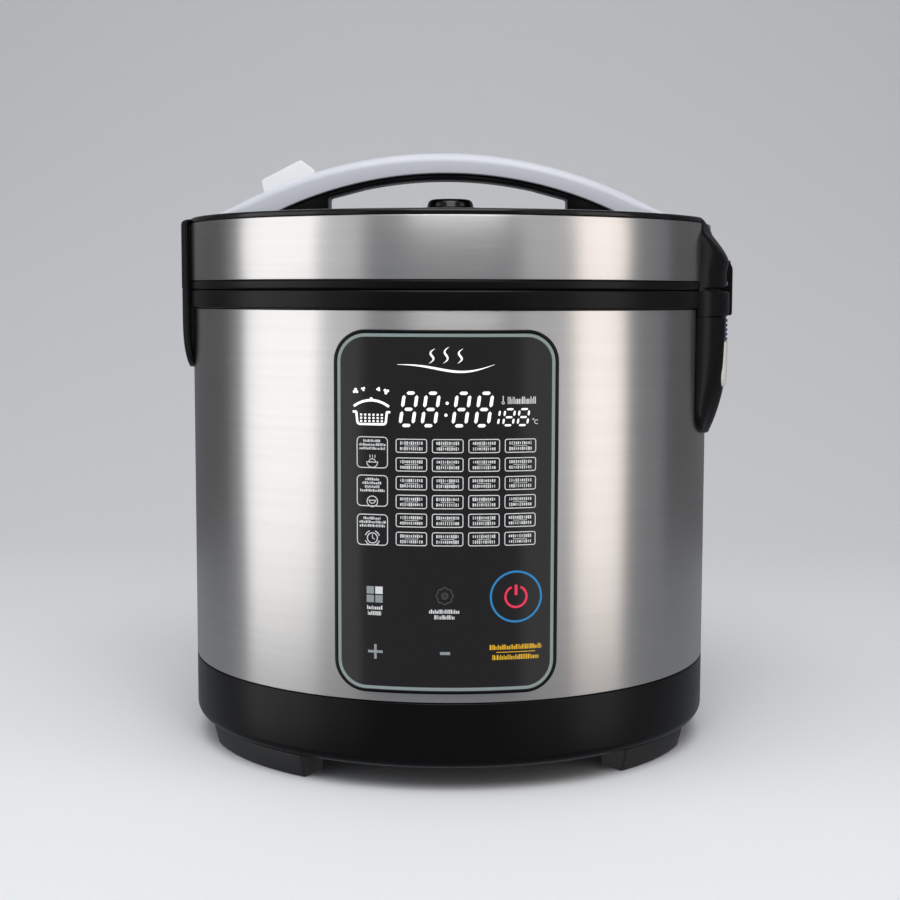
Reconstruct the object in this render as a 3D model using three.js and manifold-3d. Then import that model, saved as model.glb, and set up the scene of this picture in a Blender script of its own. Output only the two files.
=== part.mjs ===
// A hinged-lid electric multicooker: a brushed steel drum on a plastic base, an inner pot
// on a heating plate, and a lid with a carrying handle, a release button and a steam vent.
// Millimetres, +Z up. The control panel faces -Y, the lid's hinge is at +X, its latch at -X.
// The feet stand on Z = 0, and the origin is under the middle of the whole object.
import * as THREE from 'three';
import { mergeVertices } from 'three/addons/utils/BufferGeometryUtils.js';
import Module from 'manifold-3d';

const wasm = await Module();
wasm.setup();

// ---- driving dimensions -------------------------------------------------------------
const POT_AXIS_X = -3.9; // the drum's centre line, from the middle of the whole object
const POT_AXIS_Y = 0.8;
const GAP = 0.3; // between pieces that touch
const ROUND = 56; // sides of the large rings
const FINE = 36; // sides of the pot and the pieces inside it
const SMALL = 20; // sides of small turned pieces

const BODY_R = 137.5; // outside of the steel drum
const LID_R = 138.9; // outside of the lid band and of the black ring below it
const FOOT_H = 12;
const BASE_TOP = 44.1;
const STEEL_TOP = 228.2;
const SEAM = 238; // where the lid meets the body
const BAND_BOTTOM = 242.4;
const BAND_TOP = 271.9;
const LID_CROWN = 278;
const LID_FALL = 3; // how far the lid's top falls from its centre to its edge
const SHEET = 0.7; // steel sheet of the drum and the lid band
const WALL = 3; // moulded walls

const POT_R = 119.5;
const POT_WALL = 1.8;
const POT_BOTTOM = 92.5;
const POT_RIM = 235.9;
const POT_CORNER = 12;
const POT_FLANGE_R = 127.8;

const PLATE_TOP = POT_BOTTOM - GAP;
const PLATE_R = 88;
const SENSOR_R = 16.5;
const SHIELD_R = 125.7;
const SHIELD_WALL = 0.8;
const SHIELD_FLOOR = 66;

const HINGE_X = 143.8; // the hinge pin's axis runs along Y here
const HINGE_Z = 241.5;
const PIN_R = 1.5;
const PIN_HALF = 31;
const EAR_ROUND = 3; // radius of the lid's lower edge around the pin
const TONGUE_HALF = 24; // half-width of the body's hinge tongue
const NOTCH_R = 15; // space cut in the lid around the tongue
const NOTCH_HALF = 25;
const TONGUE_BACK = 138.4;
const TONGUE_X = 151.3;
const REAR_HALF = 55.4; // half-width of the hinge side where it meets the drum
const REAR_CORNER = [134, 52]; // its front corner, in plan
const REAR_SHOULDER = [146, 33]; // where its curved corner meets the long bow
const REAR_BEND = [144.8, 42]; // where the corner's two tangents meet
const REAR_BULGE = 148.2; // how far it reaches at its middle
const HOUSING_BOTTOM = 164;
const HOUSING_TOP = 224.2;
const CUP_HALF = 42;
const CUP_INSIDE_HALF = 36;
const CUP_BOTTOM = 188;
const CUP_TOP = 211.5;
const CUP_BACK = 139.4;
const CUP_WALL = 1.3;
const CUP_INSET = 0.6; // how far its face lies behind the housing's

const LATCH_HALF = 34.5;
const LATCH_R = 143.5; // the latch covers' outer face is round the pot axis
const LATCH_BOTTOM = 197;

const PANEL_HALF = 52.5;
const PANEL_BOTTOM = 49.1;
const PANEL_TOP = 219.4;
const PANEL_CORNER = 15;
const PANEL_R = 140.5;
const BEZEL = 1.7;

const HANDLE_WIDTH = 29;
const LINER_WIDTH = 24;
const HANDLE_OUTER = { x: -4, z: 78, r: 233 }; // arcs of the handle, seen from the front
const HANDLE_INNER = { x: -2, z: 89, r: 210.4 };
const FINGER_ARC = { x: -2.4, z: 82.6, r: 214 };
const FINGER_LEFT = -65; // the finger gap's end walls
const FINGER_RIGHT = 62.5;

const BUTTON_TILT = THREE.MathUtils.degToRad(24.5);
const BUTTON_AT = [-86.5, 295.9]; // on the handle's upper face
const BUTTON_HALF = 11;
const BUTTON_TRAVEL = 3;
const WELL_DEPTH = 9.5;

const VENT_R = 22.8;
const VENT_HOLE = 12.2;

// ---- solids from three.js geometry ----------------------------------------------------
function solid(shape) {
  const bare = shape.clone();
  bare.deleteAttribute('normal');
  bare.deleteAttribute('uv');
  const welded = mergeVertices(bare, 1e-4);
  const index = welded.index.array;
  const faces = [];
  for (let i = 0; i < index.length; i += 3) {
    const [a, b, c] = [index[i], index[i + 1], index[i + 2]];
    if (a !== b && b !== c && c !== a) faces.push(a, b, c);
  }
  const mesh = new wasm.Mesh({
    numProp: 3,
    vertProperties: new Float32Array(welded.attributes.position.array),
    triVerts: new Uint32Array(faces),
  });
  return new wasm.Manifold(mesh);
}

function geometry(body) {
  const mesh = body.getMesh();
  const out = new THREE.BufferGeometry();
  out.setAttribute('position', new THREE.BufferAttribute(new Float32Array(mesh.vertProperties), 3));
  out.setIndex(new THREE.BufferAttribute(new Uint32Array(mesh.triVerts), 1));
  out.computeVertexNormals();
  return out;
}

// Turns a profile of [radius, height] corners around the Z axis.
function turned(profile, sides = ROUND) {
  let area = 0;
  profile.forEach(([r, z], i) => {
    const [r2, z2] = profile[(i + 1) % profile.length];
    area += r * z2 - r2 * z;
  });
  const points = (area > 0 ? profile : [...profile].reverse()).map(([r, z]) => new THREE.Vector2(r, z));
  if (points[0].x > 0 || points[points.length - 1].x > 0) points.push(points[0].clone());
  return solid(new THREE.LatheGeometry(points, sides).rotateX(Math.PI / 2));
}

function disc(radius, bottom, top, sides = ROUND) {
  return turned([[0, bottom], [radius, bottom], [radius, top], [0, top]], sides);
}

function ring(inner, outer, bottom, top, sides = ROUND) {
  return turned([[inner, bottom], [outer, bottom], [outer, top], [inner, top]], sides);
}

function block(x0, x1, y0, y1, z0, z1) {
  const box = new THREE.BoxGeometry(x1 - x0, y1 - y0, z1 - z0);
  return solid(box.translate((x0 + x1) / 2, (y0 + y1) / 2, (z0 + z1) / 2));
}

function outline(points) {
  return new THREE.Shape(points.map(([a, b]) => new THREE.Vector2(a, b)));
}

function extruded(shape, depth, curveSegments = 20) {
  return new THREE.ExtrudeGeometry(shape, { depth, bevelEnabled: false, curveSegments });
}

// A shape drawn in X and Z, extruded from y = -half to y = half.
function acrossY(shape, half, curveSegments) {
  const turn = new THREE.Matrix4().makeBasis(
    new THREE.Vector3(1, 0, 0), new THREE.Vector3(0, 0, 1), new THREE.Vector3(0, -1, 0));
  return solid(extruded(shape, 2 * half, curveSegments).applyMatrix4(turn).translate(0, half, 0));
}

// A shape drawn in Y and Z, extruded from x0 to x1.
function acrossX(shape, x0, x1, curveSegments) {
  const turn = new THREE.Matrix4().makeBasis(
    new THREE.Vector3(0, 1, 0), new THREE.Vector3(0, 0, 1), new THREE.Vector3(1, 0, 0));
  return solid(extruded(shape, x1 - x0, curveSegments).applyMatrix4(turn).translate(x0, 0, 0));
}

function upright(shape, z0, z1, curveSegments) {
  return solid(extruded(shape, z1 - z0, curveSegments).translate(0, 0, z0));
}

function rodAlongY(x, z, radius, y0, y1, sides = SMALL) {
  const rod = new THREE.CylinderGeometry(radius, radius, y1 - y0, sides);
  return solid(rod.translate(x, (y0 + y1) / 2, z));
}

function post(x, y, radius, z0, z1, sides = 16) {
  return disc(radius, z0, z1, sides).translate([x, y, 0]);
}

function roundedRect(x0, x1, y0, y1, r) {
  const shape = new THREE.Shape();
  shape.absarc(x1 - r, y0 + r, r, -Math.PI / 2, 0);
  shape.absarc(x1 - r, y1 - r, r, 0, Math.PI / 2);
  shape.absarc(x0 + r, y1 - r, r, Math.PI / 2, Math.PI);
  shape.absarc(x0 + r, y0 + r, r, Math.PI, 1.5 * Math.PI);
  return shape;
}

// Corner points of a quarter turn in a [radius, height] profile.
function quarter(cx, cz, r, from, steps) {
  const points = [];
  for (let i = 0; i <= steps; i += 1) {
    const a = THREE.MathUtils.degToRad(from + (90 * i) / steps);
    points.push([cx + r * Math.cos(a), cz + r * Math.sin(a)]);
  }
  return points;
}

function coil(radius, wire, length, turns, sides = 5) {
  class Helix extends THREE.Curve {
    getPoint(t) {
      const a = t * turns * 2 * Math.PI;
      return new THREE.Vector3(radius * Math.cos(a), radius * Math.sin(a), t * length);
    }
  }
  const section = new THREE.Shape();
  for (let i = 0; i < sides; i += 1) {
    const a = (i / sides) * 2 * Math.PI;
    const [x, y] = [wire * Math.cos(a), wire * Math.sin(a)];
    if (i === 0) section.moveTo(x, y);
    else section.lineTo(x, y);
  }
  return solid(new THREE.ExtrudeGeometry(section, { steps: turns * 10, extrudePath: new Helix() }));
}

// ---- base and drum ---------------------------------------------------------------------
const INLET = { half: 13.9, bottom: 18.3, top: 39.7 };
const BOARD_HALF = [45, 40];
const BASE_SCREW_R = 105;
const BASE_SCREW_ANGLES = [90, 210, 330];

function around(angle, radius) {
  const a = THREE.MathUtils.degToRad(angle);
  return [radius * Math.cos(a), radius * Math.sin(a)];
}

function baseTray() {
  let tray = turned([
    [0, FOOT_H], [133.5, FOOT_H], [136.4, FOOT_H + 1.2], [BODY_R, FOOT_H + 4], [BODY_R, BASE_TOP],
    [BODY_R - WALL, BASE_TOP], [BODY_R - WALL, FOOT_H + WALL], [0, FOOT_H + WALL],
  ]);
  const open = INLET.half + GAP;
  tray = tray.subtract(block(-open, open, 125, 145, INLET.bottom - GAP, INLET.top + GAP));
  for (const angle of [30, 90, 150, 210, 270, 330]) {
    const slot = block(64, 90, -3, 3, 0, 20).rotate([0, 0, angle]);
    tray = tray.subtract(slot);
  }
  for (const x of [-1, 1]) {
    for (const y of [-1, 1]) {
      tray = tray.add(post(x * (BOARD_HALF[0] - 5), y * (BOARD_HALF[1] - 5), WALL, FOOT_H + 2, 21.7, 12));
    }
  }
  for (const angle of BASE_SCREW_ANGLES) {
    const [x, y] = around(angle, BASE_SCREW_R);
    tray = tray.subtract(post(x, y, 2.1, 0, 20, 12));
  }
  return geometry(tray);
}

function baseScrew(angle) {
  const [x, y] = around(angle, BASE_SCREW_R);
  const head = post(x, y, 4, FOOT_H - 2.3, FOOT_H - GAP, 12);
  return geometry(head.add(post(x, y, 1.6, FOOT_H - 1, 28, 12)));
}

// Angles from the front, -Y, towards +X.
function foot(from, to) {
  const a0 = THREE.MathUtils.degToRad(from - 90);
  const a1 = THREE.MathUtils.degToRad(to - 90);
  const shape = new THREE.Shape();
  shape.absarc(0, 0, 130, a0, a1, false);
  shape.absarc(0, 0, 116, a1, a0, true);
  return geometry(upright(shape, 0, FOOT_H - GAP, 8));
}

function steelShell() {
  const shell = ring(BODY_R - SHEET, BODY_R, BASE_TOP + GAP, STEEL_TOP);
  return geometry(shell.subtract(block(-42, 42, -150, -100, 58, 210)));
}

// The plan outline that the hinge cover, the ring's rear and the cup housing share.
function rearPlan() {
  const [cx, cy] = REAR_CORNER;
  const [bx, by] = REAR_BEND;
  const [sx, sy] = REAR_SHOULDER;
  const reach = REAR_BULGE - sx;
  const r = (sy * sy + reach * reach) / (2 * reach);
  const a = Math.asin(sy / r);
  const shape = new THREE.Shape();
  shape.moveTo(110, -REAR_HALF);
  shape.lineTo(127, -REAR_HALF);
  shape.lineTo(cx, -cy);
  shape.quadraticCurveTo(bx, -by, sx, -sy);
  shape.absarc(REAR_BULGE - r, 0, r, -a, a);
  shape.quadraticCurveTo(bx, by, cx, cy);
  shape.lineTo(127, REAR_HALF);
  shape.lineTo(110, REAR_HALF);
  return shape;
}

function rearBlock(z0, z1, inset = 0) {
  return upright(rearPlan(), z0, z1, 8).translate([-inset, 0, 0]);
}

function upperRing() {
  let body = turned([
    [LID_R, STEEL_TOP + GAP], [LID_R, SEAM - GAP], [131, SEAM - GAP], [131, 233.6],
    [121, 233.6], [121, 226.3], [135.9, 226.3], [135.9, STEEL_TOP + GAP],
  ]);
  const rear = rearBlock(HOUSING_TOP + GAP, SEAM - GAP)
    .subtract(disc(BODY_R + GAP, 200, STEEL_TOP + GAP))
    .subtract(disc(LID_R - 1, STEEL_TOP, 260));
  body = body.add(rear);
  body = body.subtract(block(-136.5, -127, -8.5, 8.5, 229, SEAM + 1));
  return geometry(body);
}

function latchCatch() {
  return geometry(block(-136.2, -135.2, -8, 8, 230, SEAM - 0.5));
}

function latchSector(profile) {
  return turned(profile).intersect(block(-150, -100, -LATCH_HALF, LATCH_HALF, LATCH_BOTTOM - 1, 280));
}

function latchCoverLower() {
  const top = SEAM - GAP;
  const cover = latchSector([
    [120, LATCH_BOTTOM], [139.6, LATCH_BOTTOM + 0.2], [141.1, 199.7], [142.5, 208],
    [143.1, 217], [LATCH_R - 0.2, 228], [LATCH_R - 0.2, top], [120, top],
  ]);
  const front = acrossX(roundedRect(-LATCH_HALF, LATCH_HALF, LATCH_BOTTOM, 260, 8), -150, -120, 4);
  return geometry(cover.intersect(front)
    .subtract(disc(BODY_R + GAP, 180, 250))
    .subtract(disc(LID_R + GAP, STEEL_TOP, 250)));
}

// ---- inside the drum ----------------------------------------------------------------------
function heatShield() {
  let shield = turned([
    [40, SHIELD_FLOOR], [SHIELD_R, SHIELD_FLOOR], [SHIELD_R, 226], [SHIELD_R - SHIELD_WALL, 226],
    [SHIELD_R - SHIELD_WALL, SHIELD_FLOOR + 1.2], [40, SHIELD_FLOOR + 1.2],
  ], FINE);
  for (const angle of BASE_SCREW_ANGLES) {
    const [x, y] = around(angle, BASE_SCREW_R);
    shield = shield.add(post(x, y, 5, FOOT_H + WALL + GAP, SHIELD_FLOOR + 0.5, 12));
    shield = shield.subtract(post(x, y, 1.9, 0, 32, 12));
  }
  return geometry(shield);
}

function heaterBand() {
  return geometry(ring(SHIELD_R + GAP, SHIELD_R + 1.8, 140, 200, FINE));
}

function heatingPlate() {
  let plate = turned([
    [19, 78], [PLATE_R - 2, 78], [PLATE_R, 80], [PLATE_R, PLATE_TOP - 2],
    [PLATE_R - 3, PLATE_TOP], [19, PLATE_TOP],
  ], FINE);
  for (const angle of [0, 120, 240]) {
    const [x, y] = around(angle, 62);
    plate = plate.add(post(x, y, 5, SHIELD_FLOOR + 1.2 + GAP, 79, 12));
  }
  return geometry(plate);
}

const BRACKET_TOP = SHIELD_FLOOR + 3;
const STEM_R = 5;

function sensorBracket() {
  return geometry(block(-50, 50, -9, 9, SHIELD_FLOOR + 1.2 + GAP, BRACKET_TOP));
}

function thermostatSensor() {
  return geometry(turned([
    [0, 78], [STEM_R, 78], [STEM_R, 89], [SENSOR_R, 89], [SENSOR_R, PLATE_TOP - 0.8],
    [SENSOR_R - 0.8, PLATE_TOP], [0, PLATE_TOP],
  ], SMALL));
}

function sensorSpring() {
  return geometry(coil(7.2, 0.7, 17.8, 5).translate([0, 0, BRACKET_TOP + 1.1]));
}

function innerPot() {
  const flat = POT_R - POT_CORNER;
  const bend = POT_BOTTOM + POT_CORNER;
  const outer = quarter(flat, bend, POT_CORNER, -90, 3);
  const inner = quarter(flat, bend, POT_CORNER - POT_WALL, -90, 3).reverse();
  return geometry(turned([
    [0, POT_BOTTOM], ...outer, [POT_R, POT_RIM - 2], [POT_FLANGE_R, POT_RIM - 2],
    [POT_FLANGE_R, POT_RIM], [POT_R - POT_WALL, POT_RIM], ...inner, [0, POT_BOTTOM + POT_WALL],
  ], FINE));
}

function powerBoard() {
  const [x, y] = BOARD_HALF;
  return geometry(block(-x, x, -y, y, 22, 23.6));
}

function powerInlet() {
  let socket = block(-INLET.half, INLET.half, 117, 137.9, INLET.bottom, INLET.top);
  socket = socket.subtract(block(-12, 12, 120, 145, 20.6, 37.4));
  for (const [x, z] of [[-7, 26.5], [7, 26.5], [0, 31.5]]) {
    socket = socket.add(block(x - 1, x + 1, 119.5, 131.5, z - 2, z + 2));
  }
  return geometry(socket);
}

// ---- control panel, curved with the drum ------------------------------------------------------
function panelPlate(half, bottom, top, corner, inner, outer) {
  const front = acrossY(roundedRect(-half, half, bottom, top, corner), 150, 5);
  const slab = block(-60, 60, -150, -100, 0, 260);
  return ring(inner, outer, bottom - 1, top + 1).intersect(slab).intersect(front);
}

function panelBezel() {
  const outer = panelPlate(PANEL_HALF, PANEL_BOTTOM, PANEL_TOP, PANEL_CORNER, BODY_R + GAP, PANEL_R);
  const inside = acrossY(roundedRect(
    -PANEL_HALF + BEZEL, PANEL_HALF - BEZEL, PANEL_BOTTOM + BEZEL, PANEL_TOP - BEZEL,
    PANEL_CORNER - BEZEL), 150, 5);
  return geometry(outer.subtract(inside));
}

function panelLens() {
  const edge = BEZEL + GAP;
  return geometry(panelPlate(PANEL_HALF - edge, PANEL_BOTTOM + edge, PANEL_TOP - edge,
    PANEL_CORNER - edge, BODY_R + 0.7, PANEL_R - GAP));
}

function controlBoard() {
  return geometry(block(-38, 38, -130.6, -129, 62, 206));
}

function displayModule() {
  return geometry(block(-27, 27, -134.8, -130.9, 186, 208));
}

// ---- hinge side ----------------------------------------------------------------------------
function hingeHousing() {
  const profile = outline([
    [110, HOUSING_BOTTOM], [137.5, HOUSING_BOTTOM + 0.2], [139.2, 166.5], [141.3, 171.5],
    [143.3, 179.5], [145.1, 189], [146.6, 198], [REAR_BULGE, 206], [REAR_BULGE, HOUSING_TOP],
    [110, HOUSING_TOP],
  ]);
  const side = acrossX(roundedRect(-REAR_HALF, REAR_HALF, HOUSING_BOTTOM, 260, 15), 110, 160, 5);
  const pocket = block(CUP_BACK - GAP, 170, -CUP_HALF - GAP, CUP_HALF + GAP,
    CUP_BOTTOM - GAP, HOUSING_TOP + 1);
  return geometry(rearBlock(HOUSING_BOTTOM, HOUSING_TOP)
    .intersect(acrossY(profile, 60))
    .intersect(side)
    .subtract(disc(BODY_R + GAP, 100, 250))
    .subtract(pocket));
}

function condensateCup() {
  const shell = roundedRect(-CUP_HALF, CUP_HALF, CUP_BOTTOM, CUP_TOP + 20, 6);
  const hollow = roundedRect(-CUP_INSIDE_HALF, CUP_INSIDE_HALF, CUP_BOTTOM + CUP_WALL,
    CUP_TOP + 30, 4.5);
  const inside = rearBlock(CUP_BOTTOM, CUP_TOP + 5, CUP_INSET + CUP_WALL)
    .intersect(acrossX(hollow, CUP_BACK + CUP_WALL, 160, 4));
  return geometry(rearBlock(CUP_BOTTOM, CUP_TOP, CUP_INSET)
    .intersect(acrossX(shell, CUP_BACK, 160, 4))
    .subtract(inside));
}

function cupGrip() {
  const bottom = CUP_TOP + GAP;
  const top = HOUSING_TOP - 0.5;
  const ridges = 4;
  const pitch = (top - bottom) / ridges;
  let grip = rearBlock(bottom, top, CUP_INSET + 0.8);
  for (let i = 0; i < ridges; i += 1) {
    const z = bottom + i * pitch;
    grip = grip.add(rearBlock(z + 0.4, z + 2.3, CUP_INSET));
  }
  return geometry(grip.intersect(block(142, 160, -CUP_HALF + 1, CUP_HALF - 1, bottom, top)));
}

function hingeTongue() {
  const profile = outline([
    [REAR_BULGE + GAP, HOUSING_TOP + 0.6], [TONGUE_X, HOUSING_TOP + 0.6], [TONGUE_X, 250],
    [TONGUE_X - 1, 252.6], [TONGUE_X - 3, 253.7], [TONGUE_BACK + 2.7, 253.7],
    [TONGUE_BACK + 0.6, 252.6], [TONGUE_BACK, 250.5], [TONGUE_BACK, SEAM], [REAR_BULGE + GAP, SEAM],
  ]);
  const inside = block(TONGUE_BACK + 1.8, TONGUE_X - 2, -TONGUE_HALF + WALL, TONGUE_HALF - WALL,
    SEAM - 1, 251.5);
  return geometry(acrossY(profile, TONGUE_HALF)
    .subtract(inside)
    .subtract(rodAlongY(HINGE_X, HINGE_Z, PIN_R + GAP, -30, 30, 16)));
}

function hingePin() {
  return geometry(rodAlongY(HINGE_X, HINGE_Z, PIN_R, -PIN_HALF, PIN_HALF, 16));
}

function hingeSpring() {
  const length = 30;
  const wound = coil(2.7, 0.5, length, 6).rotate([-90, 0, 0]);
  return geometry(wound.translate([HINGE_X, -length / 2, HINGE_Z]));
}

// ---- lid -----------------------------------------------------------------------------------
function lidSurface(r) {
  return LID_CROWN - LID_FALL * (r / LID_R) ** 2;
}

function tongueNotch() {
  return rodAlongY(HINGE_X, HINGE_Z, NOTCH_R, -NOTCH_HALF, NOTCH_HALF, 32);
}

function lidTop() {
  const radii = [135.5, 100, 55, VENT_HOLE];
  const top = turned([
    [VENT_HOLE, 275.2], [90, 274], [134, BAND_TOP + GAP], [LID_R, BAND_TOP + GAP],
    [LID_R, 273.5], [138.1, 274.5], ...radii.map((r) => [r, lidSurface(r)]),
  ]);
  let lid = top;
  for (const x of [FINGER_LEFT - 9, FINGER_RIGHT + 9]) lid = lid.subtract(post(x, 0, 2.1, 260, 290, 12));
  return geometry(lid);
}

function lidBand() {
  return geometry(ring(LID_R - SHEET, LID_R, BAND_BOTTOM, BAND_TOP).subtract(tongueNotch()));
}

function lidBase() {
  const inner = LID_R - SHEET - GAP;
  return geometry(turned([
    [113, SEAM + GAP], [LID_R, SEAM + GAP], [LID_R, BAND_BOTTOM - GAP], [inner, BAND_BOTTOM - GAP],
    [inner, BAND_TOP - GAP], [inner - WALL, BAND_TOP - GAP], [inner - WALL, SEAM + WALL], [113, SEAM + WALL],
  ])
    .subtract(tongueNotch())
    .subtract(block(-136.8, -126, -8.5, 8.5, SEAM, SEAM + 5)));
}

function lidHingeCover() {
  const low = SEAM + 0.5;
  const inner = LID_R + GAP;
  const rolled = turned([
    [inner, low], [152, low], [152, 250.5], [149.6, 252.6], [146.8, 260], [142.4, 267],
    [139.8, 273.4], [inner, 273.4],
  ]);
  const profile = new THREE.Shape();
  profile.moveTo(120, 280);
  profile.lineTo(120, low);
  profile.lineTo(HINGE_X, low);
  profile.absarc(HINGE_X, HINGE_Z, EAR_ROUND, -Math.PI / 2, 0);
  for (const [x, z] of [[146.8, 244], [146.5, 247], [147.6, 252], [149, 256], [149, 280]]) {
    profile.lineTo(x, z);
  }
  return geometry(rolled
    .intersect(rearBlock(200, 300))
    .intersect(acrossY(profile, 60, 6))
    .subtract(tongueNotch())
    .subtract(rodAlongY(HINGE_X, HINGE_Z, PIN_R + GAP, -PIN_HALF - GAP, PIN_HALF + GAP, 16)));
}

function lidLatchCover() {
  return geometry(latchSector([
    [LID_R + GAP, SEAM + GAP], [LATCH_R, SEAM + GAP], [LATCH_R, 271.5], [LATCH_R - 1, 273.6],
    [LATCH_R - 3, 274.2], [LID_R + GAP, 274.2],
  ]));
}

function innerLid() {
  return geometry(turned([
    [13.5, 236.8], [90, 236.8], [104, 235.5], [112, 235.5], [112, 237.9], [13.5, 237.9],
  ], FINE));
}

function lidGasket() {
  return geometry(ring(112.4, 126, POT_RIM + 0.6, SEAM, FINE));
}

function steamPipe() {
  return geometry(ring(12.8, 14.6, SEAM + GAP, 274.8, SMALL));
}

function steamVent() {
  return geometry(turned([
    [0, 262], [9, 262], [9, LID_CROWN + GAP], [VENT_R - 1, LID_CROWN + GAP], [VENT_R, 279.5],
    [VENT_R, 280.7], [VENT_R - 1, 281.5], [12, 282], [11.8, 283.6], [10, 285.6], [6, 286.6], [0, 286.8],
  ], 24));
}

function ventSeal() {
  return geometry(ring(9 + GAP, 11.3, 266, 268.5, SMALL));
}

// ---- carrying handle -----------------------------------------------------------------------
function arcHeight(arc, x) {
  return arc.z + Math.sqrt(arc.r ** 2 - (x - arc.x) ** 2);
}

// Where an arc of the handle meets the lid's surface; side is -1 or 1.
function arcFoot(arc, side) {
  let above = 60;
  let below = 136;
  while (below - above > 0.01) {
    const middle = (above + below) / 2;
    const x = side * middle;
    if (arcHeight(arc, x) > lidSurface(x) + GAP) above = middle;
    else below = middle;
  }
  return side * above;
}

function arcPoints(arc, x0, x1, steps) {
  const points = [];
  for (let i = 0; i <= steps; i += 1) {
    const x = x0 + ((x1 - x0) * i) / steps;
    points.push([x, arcHeight(arc, x)]);
  }
  return points;
}

function alongLid(x0, x1, steps) {
  const points = [];
  for (let i = 1; i < steps; i += 1) {
    const x = x0 + ((x1 - x0) * i) / steps;
    points.push([x, lidSurface(x) + GAP]);
  }
  return points;
}

// A point given along and above the button's seat on the handle's slope.
function onSlope([along, above]) {
  const [c, s] = [Math.cos(BUTTON_TILT), Math.sin(BUTTON_TILT)];
  return [BUTTON_AT[0] + along * c - above * s, BUTTON_AT[1] + along * s + above * c];
}

function handleShell() {
  const [outerLeft, outerRight] = [arcFoot(HANDLE_OUTER, -1), arcFoot(HANDLE_OUTER, 1)];
  const [innerLeft, innerRight] = [arcFoot(HANDLE_INNER, -1), arcFoot(HANDLE_INNER, 1)];
  const shape = outline([
    ...arcPoints(HANDLE_OUTER, outerRight, outerLeft, 28),
    ...alongLid(outerLeft, innerLeft, 4),
    ...arcPoints(HANDLE_INNER, innerLeft, innerRight, 22),
    ...alongLid(innerRight, outerRight, 4),
  ]);
  const well = outline([[-14.5, -WELL_DEPTH], [15.5, -WELL_DEPTH], [15.5, 20], [-14.5, 20]].map(onSlope));
  return geometry(acrossY(shape, HANDLE_WIDTH / 2).subtract(acrossY(well, BUTTON_HALF + 0.4)));
}

function handleLiner() {
  const outer = { ...HANDLE_INNER, r: HANDLE_INNER.r - GAP };
  const [left, right] = [arcFoot(outer, -1), arcFoot(outer, 1)];
  const shape = outline([
    ...arcPoints(outer, right, left, 22),
    ...alongLid(left, FINGER_LEFT, 3),
    [FINGER_LEFT, lidSurface(FINGER_LEFT) + GAP],
    ...arcPoints(FINGER_ARC, FINGER_LEFT, FINGER_RIGHT, 18),
    [FINGER_RIGHT, lidSurface(FINGER_RIGHT) + GAP],
    ...alongLid(FINGER_RIGHT, right, 3),
  ]);
  let liner = acrossY(shape, LINER_WIDTH / 2);
  for (const x of [FINGER_LEFT - 9, FINGER_RIGHT + 9]) liner = liner.subtract(post(x, 0, 1.9, 270, 283.8, 12));
  return geometry(liner);
}

function handleScrew(x) {
  return geometry(post(x, 0, 4, 271, 273.5, 12).add(post(x, 0, 1.6, 273, 283.2, 12)));
}

function releaseButton() {
  const cap = outline([[-14, -5], [15, -5], [15, -0.5], [10.8, 6.9], [-12.6, 5.8], [-14, 1]].map(onSlope));
  const recess = post(0, 0, 5, -10, 1, 16).rotate([0, -THREE.MathUtils.radToDeg(BUTTON_TILT), 0])
    .translate([BUTTON_AT[0], 0, BUTTON_AT[1]]);
  return geometry(acrossY(cap, BUTTON_HALF).subtract(recess));
}

function buttonSpring() {
  const wound = coil(3.6, 0.5, WELL_DEPTH - 1, 4).translate([0, 0, -WELL_DEPTH + 0.8]);
  return geometry(wound.rotate([0, -THREE.MathUtils.radToDeg(BUTTON_TILT), 0])
    .translate([BUTTON_AT[0], 0, BUTTON_AT[1]]));
}

function latchHook() {
  return geometry(block(-134, -131.5, -7, 7, 230, 252).add(block(-134, -126, -7, 7, 249, 252)));
}

// ---- assembly --------------------------------------------------------------------------------
function finish(color, roughness, metalness) {
  return new THREE.MeshStandardMaterial({ color, roughness, metalness });
}

const BLACK = finish('#1b1b1d', 0.3, 0);
const BLACK_MATT = finish('#1a1a1c', 0.6, 0);
const STEEL = finish('#b9b6b2', 0.32, 1);
const SPRING_STEEL = finish('#8f9094', 0.35, 1);
const ALUMINIUM = finish('#b4b6b8', 0.4, 1);
const ZINC = finish('#a6a8aa', 0.45, 1);
const NONSTICK = finish('#3a3a3c', 0.45, 0.2);
const GREY = finish('#cdcfd6', 0.35, 0);
const WHITE = finish('#e4e6e9', 0.35, 0);
const GLASS = finish('#0f1012', 0.12, 0);
const CLEAR = finish('#dfe3e6', 0.15, 0);
const SLATE = finish('#4a4a63', 0.45, 0);
const SILICONE = finish('#d9d6cf', 0.7, 0);
const RUBBER = finish('#161617', 0.85, 0);
const BOARD = finish('#2f5a3a', 0.6, 0);

const cooker = new THREE.Group();
cooker.position.set(POT_AXIS_X, POT_AXIS_Y, 0);

function place(name, shape, material) {
  const mesh = new THREE.Mesh(shape, material);
  mesh.name = name;
  cooker.add(mesh);
}

place('base_tray', baseTray(), BLACK);
place('foot_front_left', foot(-68, -32), RUBBER);
place('foot_front_right', foot(42, 68), RUBBER);
place('foot_back_right', foot(112, 148), RUBBER);
place('foot_back_left', foot(212, 248), RUBBER);
BASE_SCREW_ANGLES.forEach((angle, i) => place(`base_screw_${i + 1}`, baseScrew(angle), ZINC));
place('steel_shell', steelShell(), STEEL);
place('upper_ring', upperRing(), BLACK);
place('latch_catch', latchCatch(), ZINC);
place('latch_cover_lower', latchCoverLower(), BLACK);
place('heat_shield', heatShield(), ZINC);
place('heater_band', heaterBand(), ALUMINIUM);
place('heating_plate', heatingPlate(), ALUMINIUM);
place('sensor_bracket', sensorBracket(), ZINC);
place('thermostat_sensor', thermostatSensor(), ALUMINIUM);
place('sensor_spring', sensorSpring(), SPRING_STEEL);
place('inner_pot', innerPot(), NONSTICK);
place('power_board', powerBoard(), BOARD);
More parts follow.
